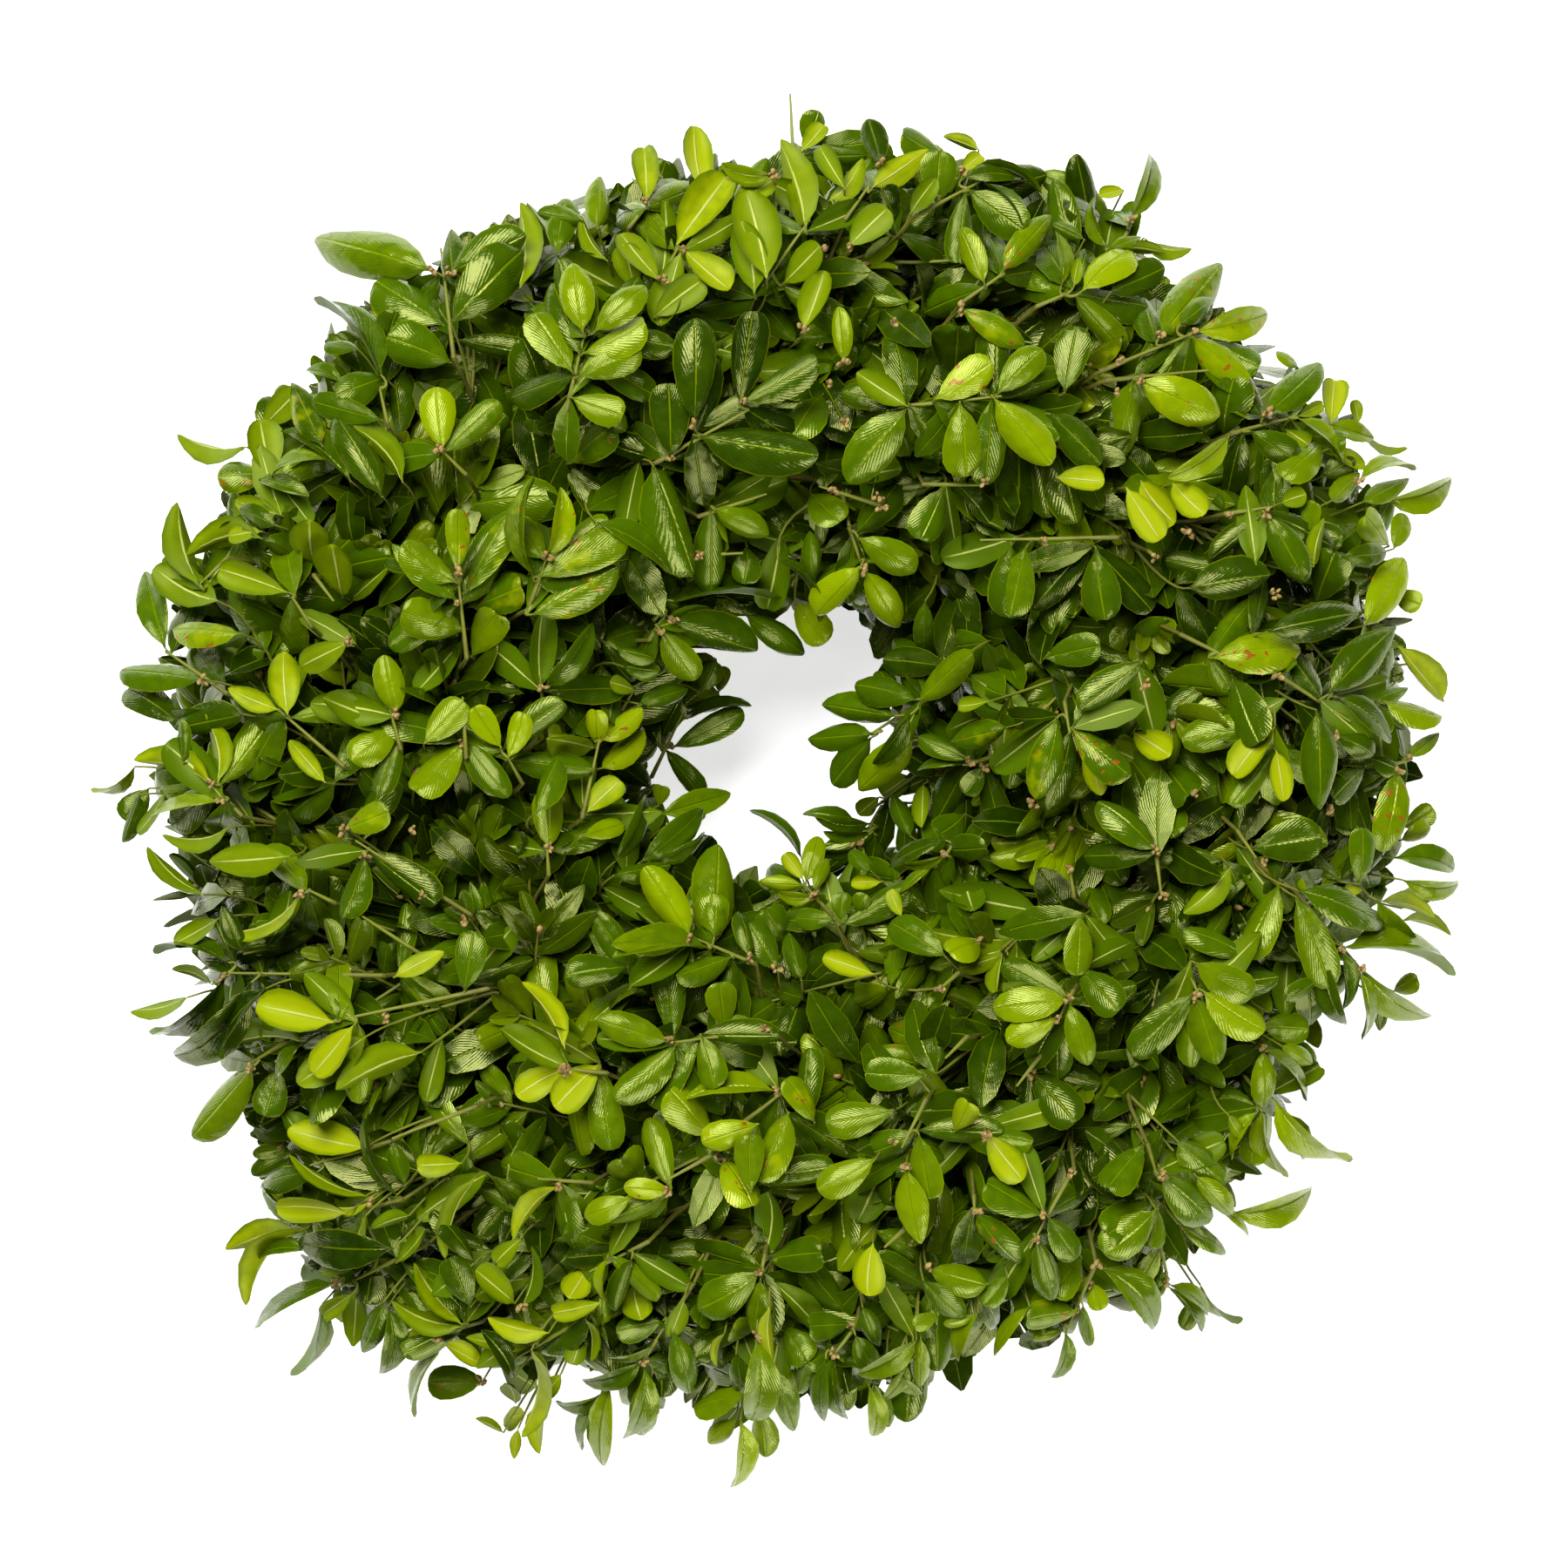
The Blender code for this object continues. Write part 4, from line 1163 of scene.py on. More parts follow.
def outward_at(point):
    """The direction straight away from the middle of the straw."""
    heading, _, roll = wreath_position(point)
    level = math.cos(roll)
    return Vector((level * math.sin(heading), level * math.cos(heading), math.sin(roll)))


def clockwise_at(point):
    heading = wreath_position(point)[0]
    return Vector((math.cos(heading), -math.sin(heading), 0))


def stray(chance, most):
    """A vector with each of its parts drawn between minus most and most."""
    return Vector([chance.uniform(-most, most) for _ in range(3)])


def camera_place(lens):
    """Where the camera stands, in metres: straight above, with the hole at its own pixel."""
    distance = PHOTO_SIDE * PIXEL_SIZE * lens / 1000 / SENSOR_WIDTH
    across = (PHOTO_SIDE / 2 - HOLE_PIXEL[0]) * PIXEL_SIZE
    up = (HOLE_PIXEL[1] - PHOTO_SIDE / 2) * PIXEL_SIZE
    return RING_MIDDLE + Vector((across, up, distance + PIXEL_HEIGHT))


def surface_height(point):
    """How high the foliage's swell is above a place of the table."""
    flat = point - RING_MIDDLE
    across = math.hypot(flat.x, flat.y) - RING_RADIUS
    share = min(1, abs(across) / half_width(math.atan2(flat.x, flat.y), across > 0))
    swell = max(RIM_RISE, (1 - share**ENVELOPE_POWER) ** (1 / ENVELOPE_POWER))
    return RING_AXIS_HEIGHT + (FOLIAGE_TOP - RING_AXIS_HEIGHT) * SURFACE_SHARE * swell


def seen_at(pixel, height, lens):
    """The point at a height that the camera sees at a pixel of the photograph."""
    eye = camera_place(lens)
    scale = PIXEL_SIZE * (eye.z - height) / (eye.z - PIXEL_HEIGHT)
    across = (pixel[0] - PHOTO_SIDE / 2) * scale
    down = (pixel[1] - PHOTO_SIDE / 2) * scale
    return Vector((eye.x + across, eye.y - down, height))


def pictured_point(pixel, lift, lens):
    """The point that a pixel shows, at a lift above the foliage's swell."""
    height = PIXEL_HEIGHT
    for _ in range(3):
        height = surface_height(seen_at(pixel, height, lens)) + lift
    return seen_at(pixel, height, lens)


def ranked_rows(sprig):
    """The sprig's leaves from the lowest to the highest, each with the side that it shows."""
    ranked = []
    for side in ("under", "upper", "spotted"):
        rows = getattr(sprig, side)
        ranked += [((index + 1) / len(rows), side, row) for index, row in enumerate(rows)]
    return [(side, row) for _, side, row in sorted(ranked)]


def pictured_leaf(side, row, lift, lens, chance):
    """Places a leaf of the photograph. A slim one is seen from its edge, and a short broad one
    rises steeply from a hidden stalk."""
    root = pictured_point(row[0:2], lift, lens)
    tip = pictured_point(row[2:4], lift, lens)
    level = math.hypot(tip.x - root.x, tip.y - root.y)
    steep = level * STEEPEST
    tip.z = min(root.z + steep, max(root.z - steep, tip.z))
    width = row[4] * PIXEL_SIZE
    length = max(level, width / ROUNDEST)
    root.z = max(FLOOR_GAP, root.z - math.sqrt(length**2 - level**2))
    seen_width = width
    is_edgewise = width < length * SLIMMEST
    if is_edgewise:
        width = min(width / LEAST_SEEN, length * USUAL_WIDTH)
    turn = math.acos(min(1, seen_width / width)) * chance.choice((-1, 1))
    facing = Vector((-0.05, 0.1, 1)) + stray(chance, 0.15 if is_edgewise else 0.4)
    facing = Matrix.Rotation(turn, 3, tip - root) @ facing
    # Painted light and shade: the tone follows how light the leaf looks, so it holds the shade or light on
    # it as well as its own colour, and the lightest turn young.
    tone = row[5] / 100 * 1.15 - 0.1
    youth = max(0, (tone - 0.85) * 1.8)
    blemish = chance.uniform(0.6, 1) if side == "spotted" else 0
    tint = (tone, youth, blemish, chance.random())
    facing = -facing if side == "under" else facing
    return PicturedLeaf(root, tip, facing, width, tint, width / length, is_edgewise)


def pictured_leaves(sprig, lens):
    chance = random.Random(str(sprig))
    leaves = []
    for rank, (side, row) in enumerate(ranked_rows(sprig)):
        lift = sprig.rise / 1000 + rank * LEAF_LAYER
        leaves.append(pictured_leaf(side, row, lift, lens, chance))
    return leaves


def middle_of(points):
    return sum(points, Vector()) / len(points)


def home_bunch(point):
    """Lane and place of the bunch whose space holds a point."""
    heading, reach, roll = wreath_position(point)
    lane = next((lane for lane in LANES.values() if roll < lane.high), LANES["inner"])
    turned = heading - lane.lean * (reach - STRAW_RADIUS)
    return lane.name, math.floor(turned * lane.bunches / (2 * math.pi)) % lane.bunches


def square_of(point):
    return round(point.x / COVER_SQUARE), round(point.y / COVER_SQUARE)


def read_picture(lens):
    """Which bunch each pictured sprig grows in, and how high pictured leaves cover each square
    of the table."""
    homes = {}
    cover = {}
    for sprig in SPRIGS:
        leaves = pictured_leaves(sprig, lens)
        home = home_bunch(middle_of([leaf.root for leaf in leaves]))
        homes.setdefault(home, []).append(sprig)
        for leaf in leaves:
            along = leaf.tip - leaf.root
            across = Vector((0, 0, 1)).cross(along).normalized() * leaf.width
            for share in (0.2, 0.4, 0.6, 0.8):
                for hand in (-0.25, 0, 0.25):
                    point = leaf.root + along * share + across * hand
                    square = square_of(point)
                    cover[square] = min(cover.get(square, point.z), point.z)
    return Picture(homes, cover)


def covers_picture(picture, points):
    """Whether any of the points would hide a pictured leaf from above."""
    for point in points:
        height = picture.cover.get(square_of(point))
        if height is not None and point.z > height - COVER_MARGIN:
            return True
    return False


def bent(point, bend, twist, sway):
    """Carries a point of a flat leaf to where it lies once the leaf is twisted and bent."""
    turned = Matrix.Rotation(twist * point.x, 3, "X") @ Vector((0, point.y, point.z))
    angle = bend * point.x
    if abs(bend) > 0.01:
        middle = Vector((math.sin(angle) / bend, 0, (math.cos(angle) - 1) / bend))
    else:
        middle = Vector((point.x, 0, 0))
    middle.y = sway * point.x * point.x
    return middle + Matrix.Rotation(angle, 3, "Y") @ turned


def leaf_mould(name, kind, chance):
    """A leaf one unit long: two sheets, upper and lower, joined at their margin."""
    shape = bmesh.new()
    steps = len(kind.outline) - 1
    bmesh.ops.create_grid(shape, x_segments=steps, y_segments=kind.across, size=0.5)
    leaf_map = shape.loops.layers.uv.new(LEAF_MAP)
    shape.verts.layers.float_color.new(TINT)
    for face in shape.faces:
        face.smooth = True
        for loop in face.loops:
            loop[leaf_map].uv = (loop.vert.co.y + 0.5, loop.vert.co.x + 0.5)
    for edge in shape.edges:
        edge.smooth = not edge.is_boundary
    upper = shape.faces[:]
    lower = bmesh.ops.duplicate(shape, geom=upper + shape.edges[:] + shape.verts[:])["geom"]
    lower_faces = [item for item in lower if isinstance(item, bmesh.types.BMFace)]
    lower_verts = {item for item in lower if isinstance(item, bmesh.types.BMVert)}
    for face in lower_faces:
        face.material_index = 1
    bmesh.ops.reverse_faces(shape, faces=lower_faces)
    bend = chance.uniform(*kind.bend)
    fold = chance.uniform(*kind.fold)
    cup = chance.uniform(*kind.cup)
    twist = chance.uniform(-kind.twist, kind.twist)
    sway = chance.uniform(-kind.sway, kind.sway)
    wave = chance.uniform(0, 2 * math.pi)
    for vert in shape.verts:
        row = round((vert.co.x + 0.5) * steps)
        side = vert.co.y * 2
        along, share = kind.outline[row]
        is_margin = abs(side) > 0.99 or row in (0, steps)
        half = MOULD_WIDTH / 2 * share
        lift = half * (fold * abs(side) + cup * side * side)
        lift += half * LEAF_PLUMPNESS * 4 * abs(side) * (1 - abs(side))
        lift += 0.012 * share * side * math.sin(9 * along + wave)
        if vert in lower_verts and not is_margin:
            lift -= LEAF_THICKNESS
        vert.co = bent(Vector((along, half * side, lift)), bend, twist, sway)
    bmesh.ops.remove_doubles(shape, verts=shape.verts, dist=1e-5)
    mesh = bpy.data.meshes.new(name)
    shape.to_mesh(mesh)
    shape.free()
    return mesh


def rod_mould():
    """A stem one unit long and one unit in radius, ready to be laid along a curve."""
    shape = bmesh.new()
    bmesh.ops.create_cone(shape, cap_ends=True, segments=5, radius1=1, radius2=1, depth=1)
    long_edges = [edge for edge in shape.edges if edge.verts[0].co.z * edge.verts[1].co.z < 0]
    bmesh.ops.subdivide_edges(shape, edges=long_edges, cuts=6)
    shape.loops.layers.uv.new(LEAF_MAP)
    shape.verts.layers.float_color.new(TINT)
    for face in shape.faces:
        face.smooth = len(face.verts) == 4
        face.material_index = 2
    mesh = bpy.data.meshes.new("rod_mould")
    shape.to_mesh(mesh)
    shape.free()
    return mesh


def bud_mould():
    """A pointed bud scale cluster, one unit long."""
    shape = bmesh.new()
    bmesh.ops.create_icosphere(shape, subdivisions=1, radius=0.5)
    shape.loops.layers.uv.new(LEAF_MAP)
    shape.verts.layers.float_color.new(TINT)
    for vert in shape.verts:
        vert.co.x += 0.5
        narrow = 1 - 0.55 * vert.co.x
        vert.co.y *= narrow
        vert.co.z *= narrow
    for face in shape.faces:
        face.smooth = True
        face.material_index = 3
    mesh = bpy.data.meshes.new("bud_mould")
    shape.to_mesh(mesh)
    shape.free()
    return mesh


def make_moulds(seed):
    moulds = {"rod": [rod_mould()], "bud": [bud_mould()]}
    for name, kind in LEAF_KINDS.items():
        moulds[name] = [
            leaf_mould(f"{name}_{index}", kind, random.Random(f"{seed} {name} {index}"))
            for index in range(kind.copies)
        ]
    return moulds


def add_copy(shape, mould, carry, tint):
    """Adds a copy of a mould to the shape, each of its points carried to its place."""
    first = len(shape.verts)
    shape.from_mesh(mould)
    shape.verts.ensure_lookup_table()
    layer = shape.verts.layers.float_color[TINT]
    added = shape.verts[first:]
    for vert in added:
        vert.co = carry(vert.co)
        vert[layer] = tint
    return added


def placement(root, along, facing, length, width):
    """Matrix for a leaf at root whose length runs along, its upper side towards facing."""
    ahead = along.normalized()
    side = facing.cross(ahead).normalized()
    up = ahead.cross(side)
    turn = Matrix((ahead * length, side * (width / MOULD_WIDTH), up * length)).transposed()
    return Matrix.Translation(root) @ turn.to_4x4()


def keep_off_table(added):
    """Raises what would reach through the table."""
    lowest = min(vert.co.z for vert in added)
    if lowest < FLOOR_GAP:
        for vert in added:
            vert.co.z += FLOOR_GAP - lowest


def add_leaf(shape, mould, root, along, facing, length, width, tint):
    placed = placement(root, along, facing, length, width)
    keep_off_table(add_copy(shape, mould, lambda point: placed @ point, tint))


class Curve:
    """A stem's line: it starts at a foot, is drawn towards a knee and ends at a tip."""

    def __init__(self, foot, knee, tip):
        self.foot, self.knee, self.tip = foot, knee, tip
        spots = [self.at(step / 8) for step in range(9)]
        self.length = sum((after - before).length for before, after in zip(spots, spots[1:]))

    def at(self, share):
        before = self.foot.lerp(self.knee, share)
        after = self.knee.lerp(self.tip, share)
        return before.lerp(after, share)

    def direction(self, share):
        before = self.foot.lerp(self.knee, share)
        after = self.knee.lerp(self.tip, share)
        return (after - before).normalized()


Shoot = namedtuple(
    "Shoot",
    "curve facing pairs gap length width flatness spread tone youth blemish flipped kind end",
)


def add_stem(shape, moulds, curve, facing, radius, greens):
    """A stem along a curve. The greens say how young its bark is at its foot and its tip."""
    def carry(point):
        share = point.z + 0.5
        ahead = curve.direction(share)
        side = facing.cross(ahead).normalized()
        up = ahead.cross(side)
        thick = radius * (1 - 0.55 * share)
        return curve.at(share) + (side * point.x + up * point.y) * thick

    added = add_copy(shape, moulds["rod"][0], carry, (0, 0, 0, 1))
    layer = shape.verts.layers.float_color[TINT]
    for vert in added:
        near = 1 - min(1, (vert.co - curve.tip).length / max(curve.length, 0.001))
        vert[layer] = (0, greens[0] + (greens[1] - greens[0]) * near, 0, 1)


def add_buds(shape, moulds, root, along, chance, count, size):
    for _ in range(count):
        direction = along + stray(chance, 0.8)
        length = size * chance.uniform(0.7, 1.2)
        start = root + stray(chance, size * 0.35)
        facing = direction.orthogonal()
        tint = (chance.random(), 0, 0, 1)
        placed = placement(start, direction, facing, length, length * 0.36)
        mould = moulds["bud"][0]
        keep_off_table(add_copy(shape, mould, lambda point, at=placed: at @ point, tint))


def add_pictured_leaf(shape, moulds, leaf, chance):
    """Lays a curved mould so that its stalk and its tip are at the leaf's own."""
    kind = "oval"
    if leaf.is_edgewise:
        kind = "arched"
    elif leaf.slimness < 0.43:
        kind = chance.choice(("oval", "blunt", "pointed"))
    elif leaf.slimness > 0.52:
        kind = "blunt"
    mould = chance.choice(moulds[kind])
    chord = max((vert.co for vert in mould.vertices), key=lambda place: place.length)
    level = chord.rotation_difference(Vector((1, 0, 0))).to_matrix().to_4x4()
    along = leaf.tip - leaf.root
    length = along.length / chord.length
    placed = placement(leaf.root, along, leaf.facing, length, leaf.width) @ level
    keep_off_table(add_copy(shape, mould, lambda point: placed @ point, leaf.tint))


def add_leaves_behind(shape, moulds, leaf, twig, looks, chance):
    """The lower leaves of the same twig, which show in the gaps round a pictured leaf."""
    ahead = (leaf.tip - leaf.root).normalized()
    hand = chance.choice((-1, 1))
    for mould_kind in ("oval", "blunt", "plain"):
        turned = Matrix.Rotation(hand * chance.uniform(0.6, 1.5), 3, "Z") @ ahead
        direction = (turned - Vector((0, 0, chance.uniform(0, 0.45)))).normalized()
        hand = -hand
        length = looks.leaf.length * chance.uniform(0.8, 1.1)
        width = length * looks.leaf.width_share * chance.uniform(0.75, 1)
        root = twig.at(chance.uniform(0.5, 0.8))
        # Painted shade: the leaves behind get a darker tone than the pictured leaf above them.
        tone = leaf.tint[0] * 0.45 + chance.uniform(-0.08, 0.16)
        facing = Vector((-0.05, 0.1, 1)) + stray(chance, 0.4)
        facing = -facing if chance.random() < 0.12 else facing
        for _ in range(4):
            spots = [root + direction * length * share for share in (0.1, 0.4, 0.7, 1)]
            if passes_outline(spots[-1]):
                break
            if not covers_picture(looks.picture, spots):
                tint = (tone, 0, 0, chance.random())
                mould = chance.choice(moulds[mould_kind])
                add_leaf(shape, mould, root, direction, facing, length, width, tint)
                break
            root.z -= 0.003


def add_sprig(shape, moulds, foot, sprig, looks, chance):
    """A shoot that the photograph shows, with the hidden part of its stem and its twigs."""
    lens = looks.stage.lens
    leaves = pictured_leaves(sprig, lens)
    lift = sprig.rise / 1000
    highest = lift + len(leaves) * LEAF_LAYER
    if sprig.stem:
        start = pictured_point(sprig.stem[0:2], lift - STEM_SINK, lens)
        end = pictured_point(sprig.stem[2:4], lift, lens)
    else:
        end = middle_of([leaf.root for leaf in leaves])
        end.z = max(end.z - TWIG_DEPTH, STEM_GAP)
        start = end.lerp(foot, 0.1)
    up = Vector((0, 0, 1))
    radius = looks.wood.shoot_radius
    line = Curve(start, (start + end) / 2, end)
    add_stem(shape, moulds, line, up, radius * 0.85, (0.3, 0.9))
    deeper = outward_at(start) * TWIG_DEPTH * 2.5
    knee = start - line.direction(0) * (start - foot).length * 0.15 - deeper
    knee.z = max(knee.z, STEM_GAP)
    hidden = Curve(foot, knee, start)
    add_stem(shape, moulds, hidden, up, radius * 1.5, (0, 0.3))
    for leaf in leaves:
        share = (leaf.root - start).dot(end - start) / max((end - start).length_squared, 1e-9)
        joint = start.lerp(end, min(1, max(0, share)))
        is_near = (leaf.root - joint).length < TWIG_REACH
        if not is_near:
            joint = hidden.at(TWIG_START)
        deeper = outward_at(leaf.root) * (TWIG_SINK if is_near else TWIG_DEPTH)
        knee = leaf.root - (leaf.tip - leaf.root) * 0.1 - deeper
        knee.z = max(knee.z, STEM_GAP)
        twig = Curve(joint, knee, leaf.root)
        add_stem(shape, moulds, twig, up, TWIG_RADIUS * 1.4, (0.3, 1))
        add_pictured_leaf(shape, moulds, leaf, chance)
        add_leaves_behind(shape, moulds, leaf, twig, looks, chance)
    for pixel in sprig.buds:
        place = pictured_point(pixel, highest, lens)
        root = min((leaf.root for leaf in leaves), key=lambda root: (root - place).xy.length)
        if (root - place).xy.length < BUD_HOLD:
            place = root
        add_buds(shape, moulds, place, up, chance, BUD_CLUSTER, PICTURED_BUD)


def kind_at(shoot, pair):
    """The kind of leaf that a pair has, counted from the shoot's tip."""
    if pair >= PLAIN_PAIR:
        return "plain"
    if shoot.kind == "cupped":
        return "cupped" if pair < CUPPED_PAIRS else "blunt"
    return "young" if pair == 0 else shoot.kind


def add_shoot(shape, moulds, shoot, looks, chance):
    """A stem with opposite pairs of leaves, the smallest at its tip."""
    curve = shoot.curve
    add_stem(shape, moulds, curve, shoot.facing, looks.wood.shoot_radius, (0, 1))
    turn = chance.uniform(-0.3, 0.3)
    back = 0.0008
    for pair in range(shoot.pairs):
        share = 1 - back / curve.length
        if share < 0.12:
            break
        ahead = curve.direction(share)
        node = curve.at(share)
        side = shoot.facing.cross(ahead).normalized()
        up = ahead.cross(side)
        quarter = (pair % 2) * math.pi / 2 * (1 - shoot.flatness)
        around = turn + quarter + chance.uniform(-0.25, 0.25)
        growth = min(1, 0.5 + 0.22 * pair)
        spread = shoot.spread * min(1, 0.45 + 0.22 * pair)
        for hand in (-1, 1):
            if chance.random() < MISSING_SHARE:
                continue
            angle = spread * chance.uniform(0.8, 1.2)
            radial = (side * math.cos(around) + up * math.sin(around)) * hand
            along = ahead * math.cos(angle) + radial * math.sin(angle)
            towards_axis = ahead * math.sin(angle) - radial * math.cos(angle)
            facing = up * (-1 if shoot.flipped else 1) * shoot.flatness
            facing += towards_axis * (1 - shoot.flatness) + stray(chance, 0.22)
            length = shoot.length * growth * chance.uniform(0.85, 1.12)
            width = length * shoot.width * chance.uniform(0.88, 1.1)
            tone = shoot.tone + chance.uniform(-0.09, 0.09)
            youth = shoot.youth * max(0, 1 - pair / 4)
            tint = (tone, youth, shoot.blemish * chance.random(), chance.random())
            mould = chance.choice(moulds[kind_at(shoot, pair)])
            reach = along * length
            spots = (node, node + reach * 0.35, node + reach * 0.7, node + reach)
            if not covers_picture(looks.picture, spots) and not passes_outline(spots[-1]):
                add_leaf(shape, mould, node, along, facing, length, width, tint)
        back += shoot.gap * min(1, 0.35 + 0.25 * pair) * chance.uniform(0.85, 1.15)
    count, size = (BUD_CLUSTER, CLUSTER_BUD) if shoot.end == "buds" else (1, TIP_BUD)
    add_buds(shape, moulds, curve.tip, curve.direction(1), chance, count, size)


def lane_cell(lane, place):
    angle = 2 * math.pi / lane.bunches
    return Cell(lane, place * angle, angle)


def is_unwanted(looks, tip):
    """Whether a shoot with its tip here would hide a pictured leaf or pass the outline."""
    end = tip + outward_at(tip) * looks.leaf.length * 0.6
    return covers_picture(looks.picture, [tip]) or passes_outline(end)


def drawn_shoot(cell, along, across, looks, chance):
    """A shoot of the bunch whose tip is at these shares of the bunch's outer face."""
    share = chance.uniform(0.54, 0.74) - swollen(0, OUTLINE_DIPS, cell.start + cell.angle * along)
    tip = cell_point(cell, along, across, share)
    while share > LEAST_SHARE and is_unwanted(looks, tip):
        share -= SHARE_STEP
        tip = cell_point(cell, along, across, share)
    tip.z = max(tip.z, STEM_GAP)
    foot_roll = cell.lane.low + (cell.lane.high - cell.lane.low) * (0.5 + (across - 0.5) * 0.6)
    foot = wreath_point(cell.start + STEM_FOOT_ARC / RING_RADIUS, STEM_FOOT_REACH, foot_roll)
    outward = outward_at(tip)
    clockwise = clockwise_at(tip)
    reaching = (tip - foot).normalized()
    direction = reaching * 0.75 + outward * chance.uniform(-0.1, 0.35)
    direction += clockwise * chance.uniform(0.1, 0.5) + stray(chance, 0.25)
    knee = tip - direction.normalized() * (tip - foot).length * 0.5
    knee.z = max(knee.z, STEM_GAP)
    facing = outward * 0.8 + Vector((0, 0, 0.75)) - clockwise * 0.15 + stray(chance, 0.4)
    heading = wreath_position(tip)[0]
    tone = swollen(TONE_MEAN, TONE_SWELLS, heading) + chance.gauss(0, 0.13)
    flipped = chance.random() < swollen(UNDERSIDE_MEAN, UNDERSIDE_SWELLS, heading)
    kind = chance.choices(("oval", "blunt", "pointed", "cupped"), (46, 28, 22, 4))[0]
    narrow = 0.8 if kind == "pointed" else 1
    return Shoot(
        curve=Curve(foot, knee, tip),
        facing=facing.normalized(),
        pairs=PAIRS,
        gap=looks.wood.node_gap * chance.uniform(0.85, 1.2),
        length=looks.leaf.length * chance.uniform(0.78, 1.25),
        width=looks.leaf.width_share * narrow * chance.uniform(0.88, 1.12),
        flatness=0 if kind == "cupped" else chance.uniform(0.35, 0.95),
        spread=chance.uniform(0.6, 0.95),
        tone=tone,
        youth=max(0, chance.gauss(0.05, 0.22)),
        blemish=1 if chance.random() < 0.1 else 0,
        flipped=flipped,
        kind=kind,
        end="buds" if chance.random() < 0.12 else "bud",
    )


def add_inner_leaves(shape, moulds, cell, looks, count, rise, chance):
    """Short leaves on the shaded wood, up to this share of the way across the bunch."""
    for _ in range(count):
        along, across = chance.random(), chance.random() * rise
        share = chance.uniform(0.3, 0.66)
        root = cell_point(cell, along, across, share)
        direction = outward_at(root) + clockwise_at(root) * 0.6 + stray(chance, 0.9)
        facing = outward_at(root) + Vector((0, 0, 0.5)) + stray(chance, 0.6)
        length = looks.leaf.length * chance.uniform(0.85, 1.15)
        width = length * looks.leaf.width_share
        # Painted shade: these leaves deep in the bunch get only the darkest tones.
        tint = (chance.uniform(0.0, 0.22), 0, 0, chance.random())
        mould = chance.choice(moulds["plain"])
        while share > LEAST_INNER_SHARE:
            root = cell_point(cell, along, across, share)
            end = root + direction.normalized() * length
            if not covers_picture(looks.picture, (root, end)) and not passes_outline(end):
                add_leaf(shape, mould, root, direction, facing, length, width, tint)
                break
            share -= INNER_STEP


def add_heart(shape, cell, chance):
    """The bunch's dense middle, hidden by its shoots: old wood and shaded leaves, in painted shade."""
    heart = bmesh.new()
    bmesh.ops.create_cube(heart, size=1)
    bmesh.ops.subdivide_edges(heart, edges=heart.edges, cuts=4, use_grid_fill=True)
    heart.loops.layers.uv.new(LEAF_MAP)
    heart.verts.layers.float_color.new(TINT)
    for vert in heart.verts:
        dip = swollen(0, OUTLINE_DIPS, cell.start + cell.angle * (0.5 + vert.co.y))
        share = HEART_FOOT + (HEART_DEPTH - max(0, dip)) * (vert.co.z + 0.5)
        if vert.co.z > 0.49:
            share += HEART_ROUGHNESS * noise.noise(vert.co * 4 + Vector((cell.start * 7, 0, 0)))
            share -= HEART_ROUNDING if max(abs(vert.co.x), abs(vert.co.y)) > 0.49 else 0
        taper = 0.98 - 0.12 * (vert.co.z + 0.5)
        vert.co = cell_point(cell, 0.5 + vert.co.y * taper, 0.5 + vert.co.x * taper, share)
        vert.co.z = max(vert.co.z, HEART_GAP)
    bmesh.ops.recalc_face_normals(heart, faces=heart.faces)
    for face in heart.faces:
        face.smooth = True
        face.material_index = 4
    mesh = bpy.data.meshes.new("heart")
    heart.to_mesh(mesh)
    heart.free()
    shape.from_mesh(mesh)
    bpy.data.meshes.remove(mesh)


def add_node(tree, kind, settings=(), links=(), stops=()):
    """Adds a node, sets its options, inputs and ramp stops, and links its inputs."""
    node = tree.nodes.new(kind)
    for name, value in dict(settings).items():
        if isinstance(name, int) or name in node.inputs:
            node.inputs[name].default_value = value
        else:
            setattr(node, name, value)
    for name, source in dict(links).items():
        tree.links.new(source, node.inputs[name])
    for index, (place, colour) in enumerate(stops):
        ramp = node.color_ramp.elements
        element = ramp[index] if index < len(ramp) else ramp.new(place)
        element.position = place
        element.color = opaque(colour)
    return node


def new_material(name):
    """A material with a bare shader, and that shader."""
    made = bpy.data.materials.new(name)
    made.use_nodes = True
    return made, made.node_tree.nodes["Principled BSDF"]


def computed(tree, operation, *terms):
    """Result of a math node, with each term a socket or a plain number."""
    numbers = {place: term for place, term in enumerate(terms) if isinstance(term, float)}
    sockets = {place: term for place, term in enumerate(terms) if place not in numbers}
    settings = {"operation": operation, **numbers}
    return add_node(tree, "ShaderNodeMath", settings, sockets).outputs[0]


def leaf_tint(tree):
    """The values that each leaf carries: tone, youth and blemish."""
    tint = add_node(tree, "ShaderNodeAttribute", {"attribute_name": TINT})
    parts = add_node(tree, "ShaderNodeSeparateColor", links={"Color": tint.outputs["Color"]})
    return parts.outputs["Red"], parts.outputs["Green"], parts.outputs["Blue"]


def from_rib(tree):
    """Distance from the midrib, 0 to 0.5, and place along the leaf, 0 at its stalk."""
    leaf_map = add_node(tree, "ShaderNodeUVMap", {"uv_map": LEAF_MAP})
    parts = add_node(tree, "ShaderNodeSeparateXYZ", links={"Vector": leaf_map.outputs["UV"]})
    centred = computed(tree, "SUBTRACT", parts.outputs["X"], 0.5)
    return computed(tree, "ABSOLUTE", centred), parts.outputs["Y"]


